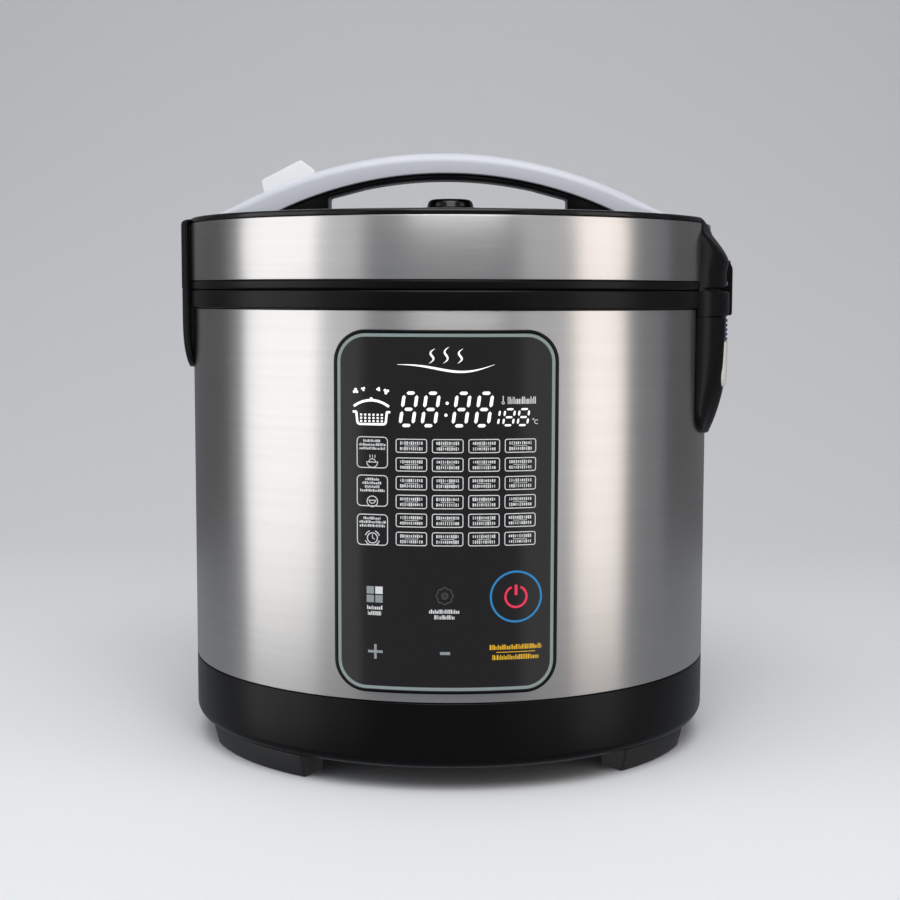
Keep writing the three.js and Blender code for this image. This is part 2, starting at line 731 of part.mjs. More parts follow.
place('power_inlet', powerInlet(), BLACK_MATT);
place('panel_bezel', panelBezel(), BLACK);
place('panel_lens', panelLens(), GLASS);
place('control_board', controlBoard(), BOARD);
place('display_module', displayModule(), BLACK_MATT);
place('hinge_housing', hingeHousing(), BLACK);
place('condensate_cup', condensateCup(), CLEAR);
place('cup_grip', cupGrip(), SLATE);
place('hinge_tongue', hingeTongue(), BLACK);
place('hinge_pin', hingePin(), SPRING_STEEL);
place('hinge_spring', hingeSpring(), SPRING_STEEL);
place('lid_top', lidTop(), BLACK);
place('lid_band', lidBand(), STEEL);
place('lid_base', lidBase(), BLACK);
place('lid_hinge_cover', lidHingeCover(), BLACK);
place('lid_latch_cover', lidLatchCover(), BLACK);
place('inner_lid', innerLid(), ALUMINIUM);
place('lid_gasket', lidGasket(), SILICONE);
place('steam_pipe', steamPipe(), SILICONE);
place('steam_vent', steamVent(), BLACK);
place('vent_seal', ventSeal(), SILICONE);
place('handle_shell', handleShell(), GREY);
place('handle_liner', handleLiner(), BLACK);
place('handle_screw_left', handleScrew(FINGER_LEFT - 9), ZINC);
place('handle_screw_right', handleScrew(FINGER_RIGHT + 9), ZINC);
place('release_button', releaseButton(), WHITE);
place('button_spring', buttonSpring(), SPRING_STEEL);
place('latch_hook', latchHook(), ZINC);

export default cooker;
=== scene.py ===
import math
import random
import bmesh
import bpy
from mathutils import Matrix, Vector


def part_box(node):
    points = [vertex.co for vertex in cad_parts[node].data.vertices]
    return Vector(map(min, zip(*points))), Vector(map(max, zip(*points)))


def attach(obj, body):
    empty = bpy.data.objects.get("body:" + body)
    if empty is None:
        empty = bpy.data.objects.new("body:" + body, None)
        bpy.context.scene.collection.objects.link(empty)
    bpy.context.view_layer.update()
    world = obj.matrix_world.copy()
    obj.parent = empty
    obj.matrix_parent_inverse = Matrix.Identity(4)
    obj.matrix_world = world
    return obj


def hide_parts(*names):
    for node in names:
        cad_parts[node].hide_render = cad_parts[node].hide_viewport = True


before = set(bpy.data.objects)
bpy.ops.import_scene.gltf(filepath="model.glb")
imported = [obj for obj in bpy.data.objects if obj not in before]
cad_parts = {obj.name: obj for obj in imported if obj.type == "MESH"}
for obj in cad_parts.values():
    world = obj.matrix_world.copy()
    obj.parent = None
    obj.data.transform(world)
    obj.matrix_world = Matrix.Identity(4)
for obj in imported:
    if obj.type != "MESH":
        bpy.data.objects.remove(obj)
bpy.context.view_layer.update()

# ---- Camera ----------------------------------------------------------------------------
# A long lens 0.9 m in front of the control panel, a little lower than the lid's top.
# It stands slightly to the right of the pot's axis, turned back to it and tipped down.
MM = 0.001
drum_low, drum_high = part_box("steel_shell")
axis = Vector(((drum_low.x + drum_high.x) / 2, (drum_low.y + drum_high.y) / 2, 0))
drum_radius = (drum_high.x - drum_low.x) / 2

lens = bpy.data.cameras.new("camera")
lens.lens = 65.57
lens.sensor_width = 36
camera = bpy.data.objects.new("camera", lens)
bpy.context.scene.collection.objects.link(camera)
bpy.context.scene.camera = camera
pitch, yaw, roll = (math.radians(a) for a in (5.405, -0.75, 0.13))
forward = Vector((math.sin(yaw) * math.cos(pitch), math.cos(yaw) * math.cos(pitch), -math.sin(pitch)))
right = Vector((math.cos(yaw), -math.sin(yaw), 0))
up = right.cross(forward)
frame_right = right * math.cos(roll) + up * math.sin(roll)
frame_up = up * math.cos(roll) - right * math.sin(roll)
stand = axis + Vector((11.8, -892.6, 235.3)) * MM
turn = Matrix((frame_right, frame_up, -forward)).transposed().to_4x4()
camera.matrix_world = Matrix.Translation(stand) @ turn

# ---- Stage -----------------------------------------------------------------------------
# A pale paper sweep: a matt floor that curves up into a wall behind the cooker.
# A tall soft box stands at each side with a dimmer one beside it, a wide one hangs overhead,
# and another hangs above the camera. The paper stops no light and shows in no reflection.


def linear(code):
    """An sRGB hex colour as linear red, green, blue and alpha."""
    parts = [int(code[i:i + 2], 16) / 255 for i in (1, 3, 5)]
    return [c / 12.92 if c <= 0.04045 else ((c + 0.055) / 1.055) ** 2.4 for c in parts] + [1]


def add(tree, kind, values=None, links=None, **settings):
    """Adds a node: its own settings, its inputs' values, and links, the sockets that feed its inputs."""
    made = tree.nodes.new(kind)
    for name, value in settings.items():
        setattr(made, name, value)
    for name, value in (values or {}).items():
        made.inputs[name].default_value = value
    for name, source in (links or {}).items():
        tree.links.new(source, made.inputs[name])
    return made


def new_material(name, code, roughness, metallic=0.0, ior=1.5):
    """A material with one Principled shader; returns it, its tree, the shader and Object coordinates."""
    made = bpy.data.materials.new(name)
    made.use_nodes = True
    tree = made.node_tree
    tree.nodes.clear()
    shader = add(tree, "ShaderNodeBsdfPrincipled", {
        "Base Color": linear(code), "Roughness": roughness, "Metallic": metallic})
    if not metallic:
        shader.inputs["IOR"].default_value = ior
    add(tree, "ShaderNodeOutputMaterial", links={"Surface": shader.outputs[0]})
    where = add(tree, "ShaderNodeTexCoord")
    return made, tree, shader, where.outputs["Object"]


def build(name, verts, faces, material, uvs=None):
    """A mesh object of these vertices and faces, with its faces turned outwards."""
    mesh = bpy.data.meshes.new(name)
    mesh.from_pydata([tuple(v) for v in verts], [], faces)
    if uvs:
        layer = mesh.uv_layers.new(name="UVMap")
        layer.data.foreach_set("uv", [c for face in uvs for uv in face for c in uv])
    work = bmesh.new()
    work.from_mesh(mesh)
    bmesh.ops.recalc_face_normals(work, faces=work.faces)
    work.to_mesh(mesh)
    work.free()
    mesh.materials.append(material)
    made = bpy.data.objects.new(name, mesh)
    bpy.context.scene.collection.objects.link(made)
    return made


paper, _, _, _ = new_material("sweep_paper", "#e6e7e9", 0.9)
sweep_half, sweep_front, sweep_back, sweep_top, sweep_bend = 2.6, -0.55, 2.2, 3.2, 1.6
side = [(sweep_front, 0.0)]
for i in range(25):
    a = math.radians(-90 + i * 90 / 24)
    side.append((sweep_back - sweep_bend + sweep_bend * math.cos(a), sweep_bend + sweep_bend * math.sin(a)))
side.append((sweep_back, sweep_top))
sweep_verts = [(x, y, z) for y, z in side for x in (-sweep_half, sweep_half)]
sweep_faces = [(2 * i, 2 * i + 1, 2 * i + 3, 2 * i + 2) for i in range(len(side) - 1)]
sweep = build("sweep", sweep_verts, sweep_faces, paper)
sweep.data.shade_smooth()
sweep.visible_glossy = False
sweep.visible_shadow = False

world = bpy.data.worlds.new("studio")
bpy.context.scene.world = world
world.use_nodes = True
room = world.node_tree.nodes["Background"]
room.inputs["Color"].default_value = linear("#c8ccd2")
room.inputs["Strength"].default_value = 0.42
bpy.context.scene.view_settings.view_transform = "Standard"


def soft_box(name, bearing, distance, height, width, tall, watts, tint="#ffffff"):
    """A rectangular light at a bearing from the front, -Y, towards +X, aimed at the cooker."""
    data = bpy.data.lights.new(name, "AREA")
    data.shape = "RECTANGLE"
    data.size = width
    data.size_y = tall
    data.energy = watts
    data.color = linear(tint)[:3]
    lamp = bpy.data.objects.new(name, data)
    a = math.radians(bearing)
    place = axis + Vector((distance * math.sin(a), -distance * math.cos(a), height))
    aim = axis + Vector((0, 0, min(height, 0.16))) - place
    lamp.matrix_world = Matrix.Translation(place) @ aim.to_track_quat("-Z", "Y").to_matrix().to_4x4()
    lamp.visible_camera = False
    bpy.context.scene.collection.objects.link(lamp)


soft_box("left_box", -76, 1.5, 0.35, 1.1, 1.7, 8.2)
soft_box("left_fill", -47, 1.6, 0.35, 0.7, 1.7, 2)
soft_box("right_box", 66, 1.5, 0.35, 0.7, 1.7, 5.4, "#fff6ee")
soft_box("right_fill", 40, 1.6, 0.35, 0.6, 1.7, 1.2)
soft_box("top_box", 0, 0.6, 1.9, 1.8, 1.8, 15)
soft_box("front_box", 4, 1.1, 1.35, 1.0, 1.0, 11)

flag_card, _, _, _ = new_material("flag_card", "#6a6a6c", 0.9)
for name, first, last in (("left_flag", 100, 163), ("right_flag", 197, 262)):
    bend = [math.radians(first + i * (last - first) / 12) for i in range(13)]
    reach = 0.62
    rim = [axis + Vector((-reach * math.sin(a), -reach * math.cos(a), 0)) for a in bend]
    verts = [p + Vector((0, 0, h)) for p in rim for h in (0.002, 1.1)]
    flag = build(name, verts, [(2 * i, 2 * i + 1, 2 * i + 3, 2 * i + 2) for i in range(12)], flag_card)
    flag.visible_camera = False
    flag.visible_shadow = False
    flag.visible_diffuse = False

# ---- Base ------------------------------------------------------------------------------
# The base is one moulding of black ABS. Its lower edge is rounded, cooling slots are cut
# through its floor, and a window at the back lets the mains inlet through.


def rounded(corners, radius, steps=6):
    """A closed outline through these corners, each made an arc; radius is one value or one for each."""
    points = []
    for i, corner in enumerate(corners):
        size = radius[i] if isinstance(radius, (list, tuple)) else radius
        here = Vector(corner)
        back = Vector(corners[i - 1]) - here
        onward = Vector(corners[(i + 1) % len(corners)]) - here
        if size <= 0:
            points.append(here)
            continue
        half = back.angle(onward) / 2
        reach = min(size / math.tan(half), 0.49 * min(back.length, onward.length))
        middle = here + (back.normalized() + onward.normalized()).normalized() * (reach / math.cos(half))
        start = here + back.normalized() * reach - middle
        end = here + onward.normalized() * reach - middle
        angle = start.angle(end)
        for k in range(steps + 1):
            t = k / steps
            turned_by = start * math.sin((1 - t) * angle) + end * math.sin(t * angle)
            points.append(middle + turned_by / math.sin(angle))
    return points


def turned(name, outline, material, steps=180, centre=axis):
    """Turns an outline of (radius, height) about an upright axis; one that starts on it ends on it."""
    open_ended = outline[0][0] < 1e-7
    verts, rows, run, length = [], [], [0.0], 0.0
    for i, (r, z) in enumerate(outline):
        if i:
            length += (Vector((r, z)) - Vector(outline[i - 1])).length
            run.append(length)
        if r < 1e-7:
            rows.append([len(verts)] * steps)
            verts.append((centre.x, centre.y, z))
            continue
        rows.append(list(range(len(verts), len(verts) + steps)))
        for k in range(steps):
            a = 2 * math.pi * k / steps
            verts.append((centre.x + r * math.sin(a), centre.y - r * math.cos(a), z))
    run.append(length + (Vector(outline[0]) - Vector(outline[-1])).length)
    widest = max(r for r, _ in outline)
    faces, uvs = [], []
    for i in range(len(outline) - (1 if open_ended else 0)):
        low_row, high_row = rows[i], rows[(i + 1) % len(outline)]
        for k in range(steps):
            n = (k + 1) % steps
            u0, u1 = (2 * math.pi * widest * j / steps for j in (k, k + 1))
            ring = [(low_row[k], (u0, run[i])), (low_row[n], (u1, run[i])),
                    (high_row[n], (u1, run[i + 1])), (high_row[k], (u0, run[i + 1]))]
            kept = [c for j, c in enumerate(ring) if c[0] != ring[j - 1][0]]
            faces.append([c[0] for c in kept])
            uvs.append([c[1] for c in kept])
    return build(name, verts, faces, material, uvs)


def settle(piece):
    """Turns a piece with modifiers into a plain mesh."""
    bpy.context.view_layer.update()
    plain = bpy.data.meshes.new_from_object(piece.evaluated_get(bpy.context.evaluated_depsgraph_get()))
    piece.modifiers.clear()
    piece.data = plain
    return piece


def block(name, low, high, material, round_off=0.0):
    """A box between two corners, in metres, with its edges rounded."""
    ends = list(zip(low, high))
    verts = [(x, y, z) for x in ends[0] for y in ends[1] for z in ends[2]]
    faces = [(0, 1, 3, 2), (4, 6, 7, 5), (0, 4, 5, 1), (2, 3, 7, 6), (0, 2, 6, 4), (1, 5, 7, 3)]
    made = build(name, verts, faces, material)
    if round_off:
        soften(made, round_off)
    return made


def soften(piece, width, segments=3, angle=30):
    """Rounds a piece's sharp edges."""
    bevel = piece.modifiers.new("edges", "BEVEL")
    bevel.width = width
    bevel.segments = segments
    bevel.limit_method = "ANGLE"
    bevel.angle_limit = math.radians(angle)
    return settle(piece)


def cut(piece, *tools):
    """Cuts the tools out of a piece, and removes them."""
    for tool in tools:
        knife = piece.modifiers.new("cut", "BOOLEAN")
        knife.operation = "DIFFERENCE"
        knife.solver = "EXACT"
        knife.object = tool
        settle(piece)
        bpy.data.objects.remove(tool)
    return piece


def fit(piece, body, slot, *nodes, sharp=32):
    """Shades a finished piece, fixes it to its body, and lets it stand for its CAD nodes."""
    piece.data.shade_smooth()
    piece.data.set_sharp_from_angle(angle=math.radians(sharp))
    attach(piece, body)
    if nodes:
        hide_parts(*nodes)
    return piece


def grained(name, code, roughness, grain_mm, depth_mm, ior=1.53, smears=0.05, shine=0.5):
    """Moulded plastic: a fine grain from the tool, and faint wider patches where it was handled or wiped."""
    made, tree, shader, where = new_material(name, code, roughness, ior=ior)
    shader.inputs["Specular IOR Level"].default_value = shine
    grain = add(tree, "ShaderNodeTexNoise", {"Scale": 1 / (grain_mm * MM), "Detail": 2}, {"Vector": where})
    bump = add(tree, "ShaderNodeBump", {"Distance": depth_mm * MM, "Strength": 1.0},
               {"Height": grain.outputs[0]})
    tree.links.new(bump.outputs[0], shader.inputs["Normal"])
    wiped = add(tree, "ShaderNodeTexNoise", {"Scale": 14, "Detail": 4, "Roughness": 0.6}, {"Vector": where})
    spread = add(tree, "ShaderNodeMapRange", {
        "From Min": 0.3, "From Max": 0.7, "To Min": roughness - smears, "To Max": roughness + smears},
        {"Value": wiped.outputs[0]})
    tree.links.new(spread.outputs[0], shader.inputs["Roughness"])
    return made


black_abs = grained("moulded_black_abs", "#070708", 0.3, 0.5, 0.004, shine=0.15)
base_low, base_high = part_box("base_tray")
wall = 3 * MM
base_outline = rounded(
    [(0, base_low.z), (drum_radius, base_low.z), (drum_radius, base_high.z),
     (drum_radius - wall, base_high.z), (drum_radius - wall, base_low.z + wall), (0, base_low.z + wall)],
    [0, 5.5 * MM, 0.8 * MM, 0.5 * MM, 2 * MM, 0])
base = turned("base_moulding", base_outline, black_abs)
slot_half, slot_reach, slot_top = 2.2 * MM, 9 * MM, 20 * MM
for ring_radius, count in ((52 * MM, 12), (78 * MM, 18)):
    for i in range(count):
        slot = block("slot", (-slot_half, ring_radius - slot_reach, 0),
                     (slot_half, ring_radius + slot_reach, slot_top), black_abs)
        slot.data.transform(Matrix.Translation(axis) @ Matrix.Rotation(2 * math.pi * i / count, 4, "Z"))
        cut(base, slot)
inlet_low, inlet_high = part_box("power_inlet")
edge = 0.3 * MM
cut(base, block("window", (inlet_low.x - edge, axis.y + 0.12, inlet_low.z - edge),
                (inlet_high.x + edge, axis.y + 0.15, inlet_high.z + edge), black_abs))
fit(base, "cooker", "black_gloss", "base_tray")

# ---- Feet ------------------------------------------------------------------------------
# Four curved feet of black rubber are pressed on under the base's edge.
# Each follows the rim, is drawn in a little towards the worktop, and has rounded ends.


def stack(name, loops, material, uvs=False):
    """A closed skin through a row of loops with the same number of points, with its two ends closed."""
    count = len(loops[0])
    verts = [p for loop in loops for p in loop]
    faces = []
    for i in range(len(loops) - 1):
        for k in range(count):
            n = (k + 1) % count
            faces.append((i * count + k, i * count + n, (i + 1) * count + n, (i + 1) * count + k))
    faces.append(tuple(range(count))[::-1])
    faces.append(tuple(range((len(loops) - 1) * count, len(loops) * count)))
    return build(name, verts, faces, material)


foot_rubber = grained("moulded_black_rubber", "#101011", 0.5, 0.6, 0.008, ior=1.52)
foot_span = {"foot_front_left": (-68, -32), "foot_front_right": (42, 68),
             "foot_back_right": (112, 148), "foot_back_left": (212, 248)}
for node, (first, last) in foot_span.items():
    section = rounded([(116 * MM, 0), (130 * MM, 0), (133 * MM, base_low.z), (114 * MM, base_low.z)],
                      [1.5 * MM, 1.5 * MM, 0, 0], 4)
    loops = []
    for i in range(17):
        a = math.radians(first + (last - first) * i / 16)
        loops.append([(axis.x + r * math.sin(a), axis.y - r * math.cos(a), z) for r, z in section])
    foot = stack(node.replace("foot", "rubber_foot"), loops, foot_rubber)
    soften(foot, 1.2 * MM, 3, 50)
    fit(foot, "cooker", "rubber", node)

# ---- Drum ------------------------------------------------------------------------------
# The drum is a sheet of stainless steel rolled into a tube and brushed around its girth.
# The fine level scratches spread every light up and down it, so soft boxes show as tall bands.


def brushed(name, code, roughness, streak_mm, line_mm, stretch=0.75):
    """Brushed metal on a piece whose UV runs along the brushing in U, in metres."""
    made, tree, shader, _ = new_material(name, code, roughness, metallic=1.0)
    shader.inputs["Anisotropic"].default_value = stretch
    shader.inputs["Anisotropic Rotation"].default_value = 0.25
    along = add(tree, "ShaderNodeUVMap", uv_map="UVMap")
    tangent = add(tree, "ShaderNodeTangent", direction_type="UV_MAP", uv_map="UVMap")
    tree.links.new(tangent.outputs[0], shader.inputs["Tangent"])
    lines = add(tree, "ShaderNodeMapping", {"Scale": (1 / (streak_mm * MM), 1 / (line_mm * MM), 1)},
                {"Vector": along.outputs[0]})
    fine = add(tree, "ShaderNodeTexNoise", {"Scale": 1, "Detail": 3, "Roughness": 0.65},
               {"Vector": lines.outputs[0]})
    broad_scale = (1 / (6 * streak_mm * MM), 1 / (9 * line_mm * MM), 1)
    broad_lines = add(tree, "ShaderNodeMapping", {"Scale": broad_scale}, {"Vector": along.outputs[0]})
    broad = add(tree, "ShaderNodeTexNoise", {"Scale": 1, "Detail": 2}, {"Vector": broad_lines.outputs[0]})
    spread = add(tree, "ShaderNodeMapRange", {
        "From Min": 0.25, "From Max": 0.75, "To Min": roughness - 0.03, "To Max": roughness + 0.03},
        {"Value": fine.outputs[0]})
    tree.links.new(spread.outputs[0], shader.inputs["Roughness"])
    tone = add(tree, "ShaderNodeMath", {1: 0.5}, {0: fine.outputs[0]}, operation="MULTIPLY")
    tones = add(tree, "ShaderNodeMath", {2: 0.0}, {0: broad.outputs[0], 1: tone.outputs[0]}, operation="ADD")
    deep, pale = linear(code), [min(1, c * 1.07) for c in linear(code)]
    ramp = add(tree, "ShaderNodeMix", data_type="RGBA")
    ramp.inputs[6].default_value = [c * 0.94 for c in deep[:3]] + [1]
    ramp.inputs[7].default_value = pale[:3] + [1]
    tree.links.new(tones.outputs[0], ramp.inputs[0])
    tree.links.new(ramp.outputs[2], shader.inputs["Base Color"])
    scratch_depth = 0.0018 * MM
    bump = add(tree, "ShaderNodeBump", {"Distance": scratch_depth, "Strength": 1.0},
               {"Height": fine.outputs[0]})
    tree.links.new(bump.outputs[0], shader.inputs["Normal"])
    return made


brushed_steel = brushed("brushed_stainless_steel", "#c9c7c5", 0.3, 30, 0.35)
sheet = 1 * MM
drum = turned("drum_sheet", rounded(
    [(drum_radius, drum_low.z), (drum_radius, drum_high.z),
     (drum_radius - sheet, drum_high.z), (drum_radius - sheet, drum_low.z)], 0.35 * MM, 3),
    brushed_steel, 240)
fit(drum, "cooker", "steel", "steel_shell")

# ---- Body ring -------------------------------------------------------------------------
# A black ABS ring caps the drum. It holds the pot's rim in a step, the lid closes on it, and
# behind it reaches out under the hinge.
lid_low, lid_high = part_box("lid_band")
lid_radius = (lid_high.y - lid_low.y) / 2
ring_low, ring_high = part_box("upper_ring")
seat = drum_high.z + 0.3 * MM
seam_mm = 0.06
seam_gap = seam_mm * MM
ring_outline = rounded(
    [(lid_radius, seat), (lid_radius, ring_high.z), (131 * MM, ring_high.z), (131 * MM, 233.6 * MM),
     (121 * MM, 233.6 * MM), (121 * MM, 226.3 * MM), (135.9 * MM, 226.3 * MM), (135.9 * MM, seat)],
    [1 * MM, 1.3 * MM, 0.8 * MM, 0.4 * MM, 0.4 * MM, 0.4 * MM, 0.4 * MM, 0.2 * MM], 5)
body_ring = turned("body_ring", ring_outline, black_abs)
cut(body_ring, block("hook_slot", (axis.x - 136.5 * MM, axis.y - 8.5 * MM, 229 * MM),
                     (axis.x - 127 * MM, axis.y + 8.5 * MM, 240 * MM), black_abs))
fit(body_ring, "cooker", "black_gloss", "upper_ring")

# The hinge side's plan: a side wall leaves the drum, turns at a soft corner, and a long shallow
# bow crosses the back. Every cover on that side follows it, drawn in by its own profile.
rear_half, rear_bulge = 55.4 * MM, 148.2 * MM
rear_corner = Vector((134, 52)) * MM
rear_bend = Vector((144.8, 42)) * MM
rear_shoulder = Vector((146, 33)) * MM
bow_reach = rear_bulge - rear_shoulder.x
bow_radius = (rear_shoulder.y ** 2 + bow_reach ** 2) / (2 * bow_reach)


def rear_half_plan():
    """Half of the hinge side's plan, from the drum to near the middle, as (x, y) about the pot's axis."""
    points = [Vector((127 * MM, rear_half)), Vector((130.5 * MM, rear_half - 1.2 * MM))]
    for i in range(9):
        t = i / 8
        points.append(rear_corner * (1 - t) ** 2 + rear_bend * 2 * t * (1 - t) + rear_shoulder * t ** 2)
    for i in range(1, 11):
        y = rear_shoulder.y * (1 - i / 11)
        points.append(Vector((rear_bulge - bow_radius + math.sqrt(bow_radius ** 2 - y ** 2), y)))
    return points


def rear_loop(z, inset, width, inner, steps=28):
    """One level of a hinge-side cover: its outer plan, drawn in by inset, and its inner face on a radius."""
    start = math.sqrt(inner ** 2 - width ** 2)
    half = [(start, width)]
    for i, p in enumerate(rear_half_plan()):
        drawn = inset * max(0.0, min(1.0, (p.x - 127 * MM) / (14 * MM)))
        half.append((max(p.x - drawn, start + 0.1 * MM * (i + 1)), min(p.y, width - 0.01 * MM * i)))
    points = [(x, -y) for x, y in half] + [(rear_bulge - inset, 0)] + list(reversed(half))
    reach = math.asin(width / inner)
    for i in range(1, steps):
        a = reach * (1 - 2 * i / steps)
        points.append((inner * math.cos(a), inner * math.sin(a)))
    return [(axis.x + x, axis.y + y, z) for x, y in points]


def rear_cover(name, levels, inner, material):
    """A hinge-side cover through levels of (height, inset, half-width), in metres."""
    return stack(name, [rear_loop(z, inset, width, inner) for z, inset, width in levels], material)


ring_rear = rear_cover("ring_rear", [
    (ring_low.z, 1.2 * MM, rear_half), (ring_low.z + 0.8 * MM, 0.3 * MM, rear_half),
    (ring_low.z + 2 * MM, 0, rear_half), (ring_high.z - 1.4 * MM, 0, rear_half),
    (ring_high.z - 0.4 * MM, 0.5 * MM, rear_half), (ring_high.z, 1.4 * MM, rear_half)],
    drum_radius + 0.4 * MM, black_abs)
fit(ring_rear, "cooker", "black_gloss", "upper_ring", sharp=40)

# ---- Cup housing -----------------------------------------------------------------------
# A black ABS shield on the hinge side of the drum. It narrows to a rounded foot, and a bay
# in it holds the condensate cup.
housing_low, housing_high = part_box("hinge_housing")
cup_low, cup_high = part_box("condensate_cup")


def housing_inset(z):
    """How far the housing's face is drawn in at a height, as a curve that tucks in towards its foot."""
    t = max(0.0, min(1.0, (housing_high.z - z) / (housing_high.z - housing_low.z)))
    return 9.4 * MM * t ** 3 + 0.5 * MM * t


levels = []
foot_round = 14 * MM
for i in range(25):
    t = (i / 24) ** 1.5
    z = housing_low.z + t * (housing_high.z - housing_low.z)
    rise = min(foot_round, z - housing_low.z)
    narrow = foot_round - math.sqrt(foot_round ** 2 - (foot_round - rise) ** 2)
    levels.append((z, housing_inset(z), rear_half - narrow))
housing = rear_cover("cup_housing", levels, drum_radius + 0.2 * MM, black_abs)
bay = block("bay", (cup_low.x - 0.3 * MM, cup_low.y - 0.4 * MM, cup_low.z - 0.4 * MM),
            (axis.x + 0.2, cup_high.y + 0.4 * MM, housing_high.z + 0.02), black_abs)
soften(bay, 5 * MM, 4)
cut(housing, bay)
fit(housing, "cooker", "black_gloss", "hinge_housing", sharp=40)

# ---- Condensate cup --------------------------------------------------------------------
# A small cup catches the drops that run off the open lid. It is moulded in clear styrene,
# and its ribbed slate-blue grip is clipped on above, to pull it out sideways.
clear_abs, _, clear_shader, _ = new_material("clear_styrene", "#f6f6f0", 0.2, ior=1.55)
clear_shader.inputs["Transmission Weight"].default_value = 0.3


def rear_reach(y):
    """How far the hinge side's plan reaches at a distance from its middle."""
    y = abs(y)
    if y <= rear_shoulder.y:
        return rear_bulge - bow_radius + math.sqrt(bow_radius ** 2 - y ** 2)
    plan = rear_half_plan()
    for first, last in zip(plan, plan[1:]):
        if first.y >= y >= last.y:
            return last.x + (first.x - last.x) * (y - last.y) / (first.y - last.y)
    return rear_corner.x


def cup_loop(z, shrink, back, front):
    """One level of the cup: a rounded box whose front follows the housing's bow."""
    half = (cup_high.y - cup_low.y) / 2 - shrink
    points = []
    for i in range(41):
        y = half * (-1 + i / 20)
        ease = max(0.0, abs(i / 20 - 1) - 0.9) / 0.1
        points.append((rear_reach(y) - front - 0.5 * MM * ease ** 2, y))
    points += [(back, half), (back, -half)]
    return [(axis.x + x, axis.y + y, z) for x, y in points]


cup_back = cup_low.x - axis.x
cup_wall, cup_corner = 1.5 * MM, 2.1 * MM
outer_levels = [(cup_low.z, 5 * MM), (cup_low.z + 0.6 * MM, 3 * MM), (cup_low.z + 2 * MM, 1.4 * MM),
                (cup_low.z + 4.5 * MM, 0.3 * MM), (cup_low.z + 7 * MM, 0), (cup_high.z, 0)]
loops = [cup_loop(z, s, cup_back, 0.6 * MM + s * 0.3) for z, s in outer_levels]
inner_levels = [(max(z, cup_low.z + 1.6 * MM + 0.2 * (z - cup_low.z)), s) for z, s in outer_levels]
loops += [cup_loop(z, s + cup_wall, cup_back + cup_wall, cup_corner + s * 0.3)
          for z, s in reversed(inner_levels)]
cup = stack("condensate_cup_clear", loops, clear_abs)
fit(cup, "cup", "clear_plastic", "condensate_cup", sharp=40)

slate_abs = grained("moulded_slate_abs", "#3d3d57", 0.42, 0.4, 0.006)
grip_low, grip_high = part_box("cup_grip")

grip_tree = bpy.data.node_groups.new("grip_ribs", "GeometryNodeTree")
grip_tree.interface.new_socket("Geometry", in_out="OUTPUT", socket_type="NodeSocketGeometry")
grip_sizes = {"Ribs": ("NodeSocketInt", 5), "Pitch": ("NodeSocketFloat", (grip_high.z - grip_low.z) / 5),
              "Rib height": ("NodeSocketFloat", 1.5 * MM), "Rib depth": ("NodeSocketFloat", 1.6 * MM),
              "Width": ("NodeSocketFloat", 2 * rear_shoulder.y)}
grip_sockets = {}
for name, (kind, value) in grip_sizes.items():
    grip_sockets[name] = grip_tree.interface.new_socket(name, in_out="INPUT", socket_type=kind).identifier
given = add(grip_tree, "NodeGroupInput")
line = add(grip_tree, "GeometryNodeMeshLine", links={"Count": given.outputs["Ribs"]})
step = add(grip_tree, "ShaderNodeCombineXYZ", links={"Z": given.outputs["Pitch"]})
grip_tree.links.new(step.outputs[0], line.inputs["Offset"])
size = add(grip_tree, "ShaderNodeCombineXYZ", links={
    "X": given.outputs["Rib depth"], "Y": given.outputs["Width"], "Z": given.outputs["Rib height"]})
rib = add(grip_tree, "GeometryNodeMeshCube", {"Vertices X": 2, "Vertices Y": 9, "Vertices Z": 2},
          {"Size": size.outputs[0]})
ribs = add(grip_tree, "GeometryNodeInstanceOnPoints", links={
    "Points": line.outputs[0], "Instance": rib.outputs[0]})
real = add(grip_tree, "GeometryNodeRealizeInstances", links={0: ribs.outputs[0]})
where = add(grip_tree, "GeometryNodeInputPosition")
parts = add(grip_tree, "ShaderNodeSeparateXYZ", links={0: where.outputs[0]})
square = add(grip_tree, "ShaderNodeMath", {1: 2.0}, {0: parts.outputs["Y"]}, operation="POWER")
bow_sag = -2.1
sag = add(grip_tree, "ShaderNodeMath", {1: bow_sag}, {0: square.outputs[0]}, operation="MULTIPLY")
slide = add(grip_tree, "ShaderNodeCombineXYZ", links={"X": sag.outputs[0]})
bowed = add(grip_tree, "GeometryNodeSetPosition", links={
    "Geometry": real.outputs[0], "Offset": slide.outputs[0]})
painted = add(grip_tree, "GeometryNodeSetMaterial", {"Material": slate_abs}, {"Geometry": bowed.outputs[0]})
add(grip_tree, "NodeGroupOutput", links={0: painted.outputs[0]})


def grown(name, tree, sockets, sizes):
    """Runs a Geometry Nodes tree on an empty mesh and keeps the plain result."""
    made = bpy.data.objects.new(name, bpy.data.meshes.new(name))
    bpy.context.scene.collection.objects.link(made)
    nodes = made.modifiers.new("nodes", "NODES")
    nodes.node_group = tree
    for key, value in sizes.items():
        nodes[sockets[key]] = value
    return settle(made)


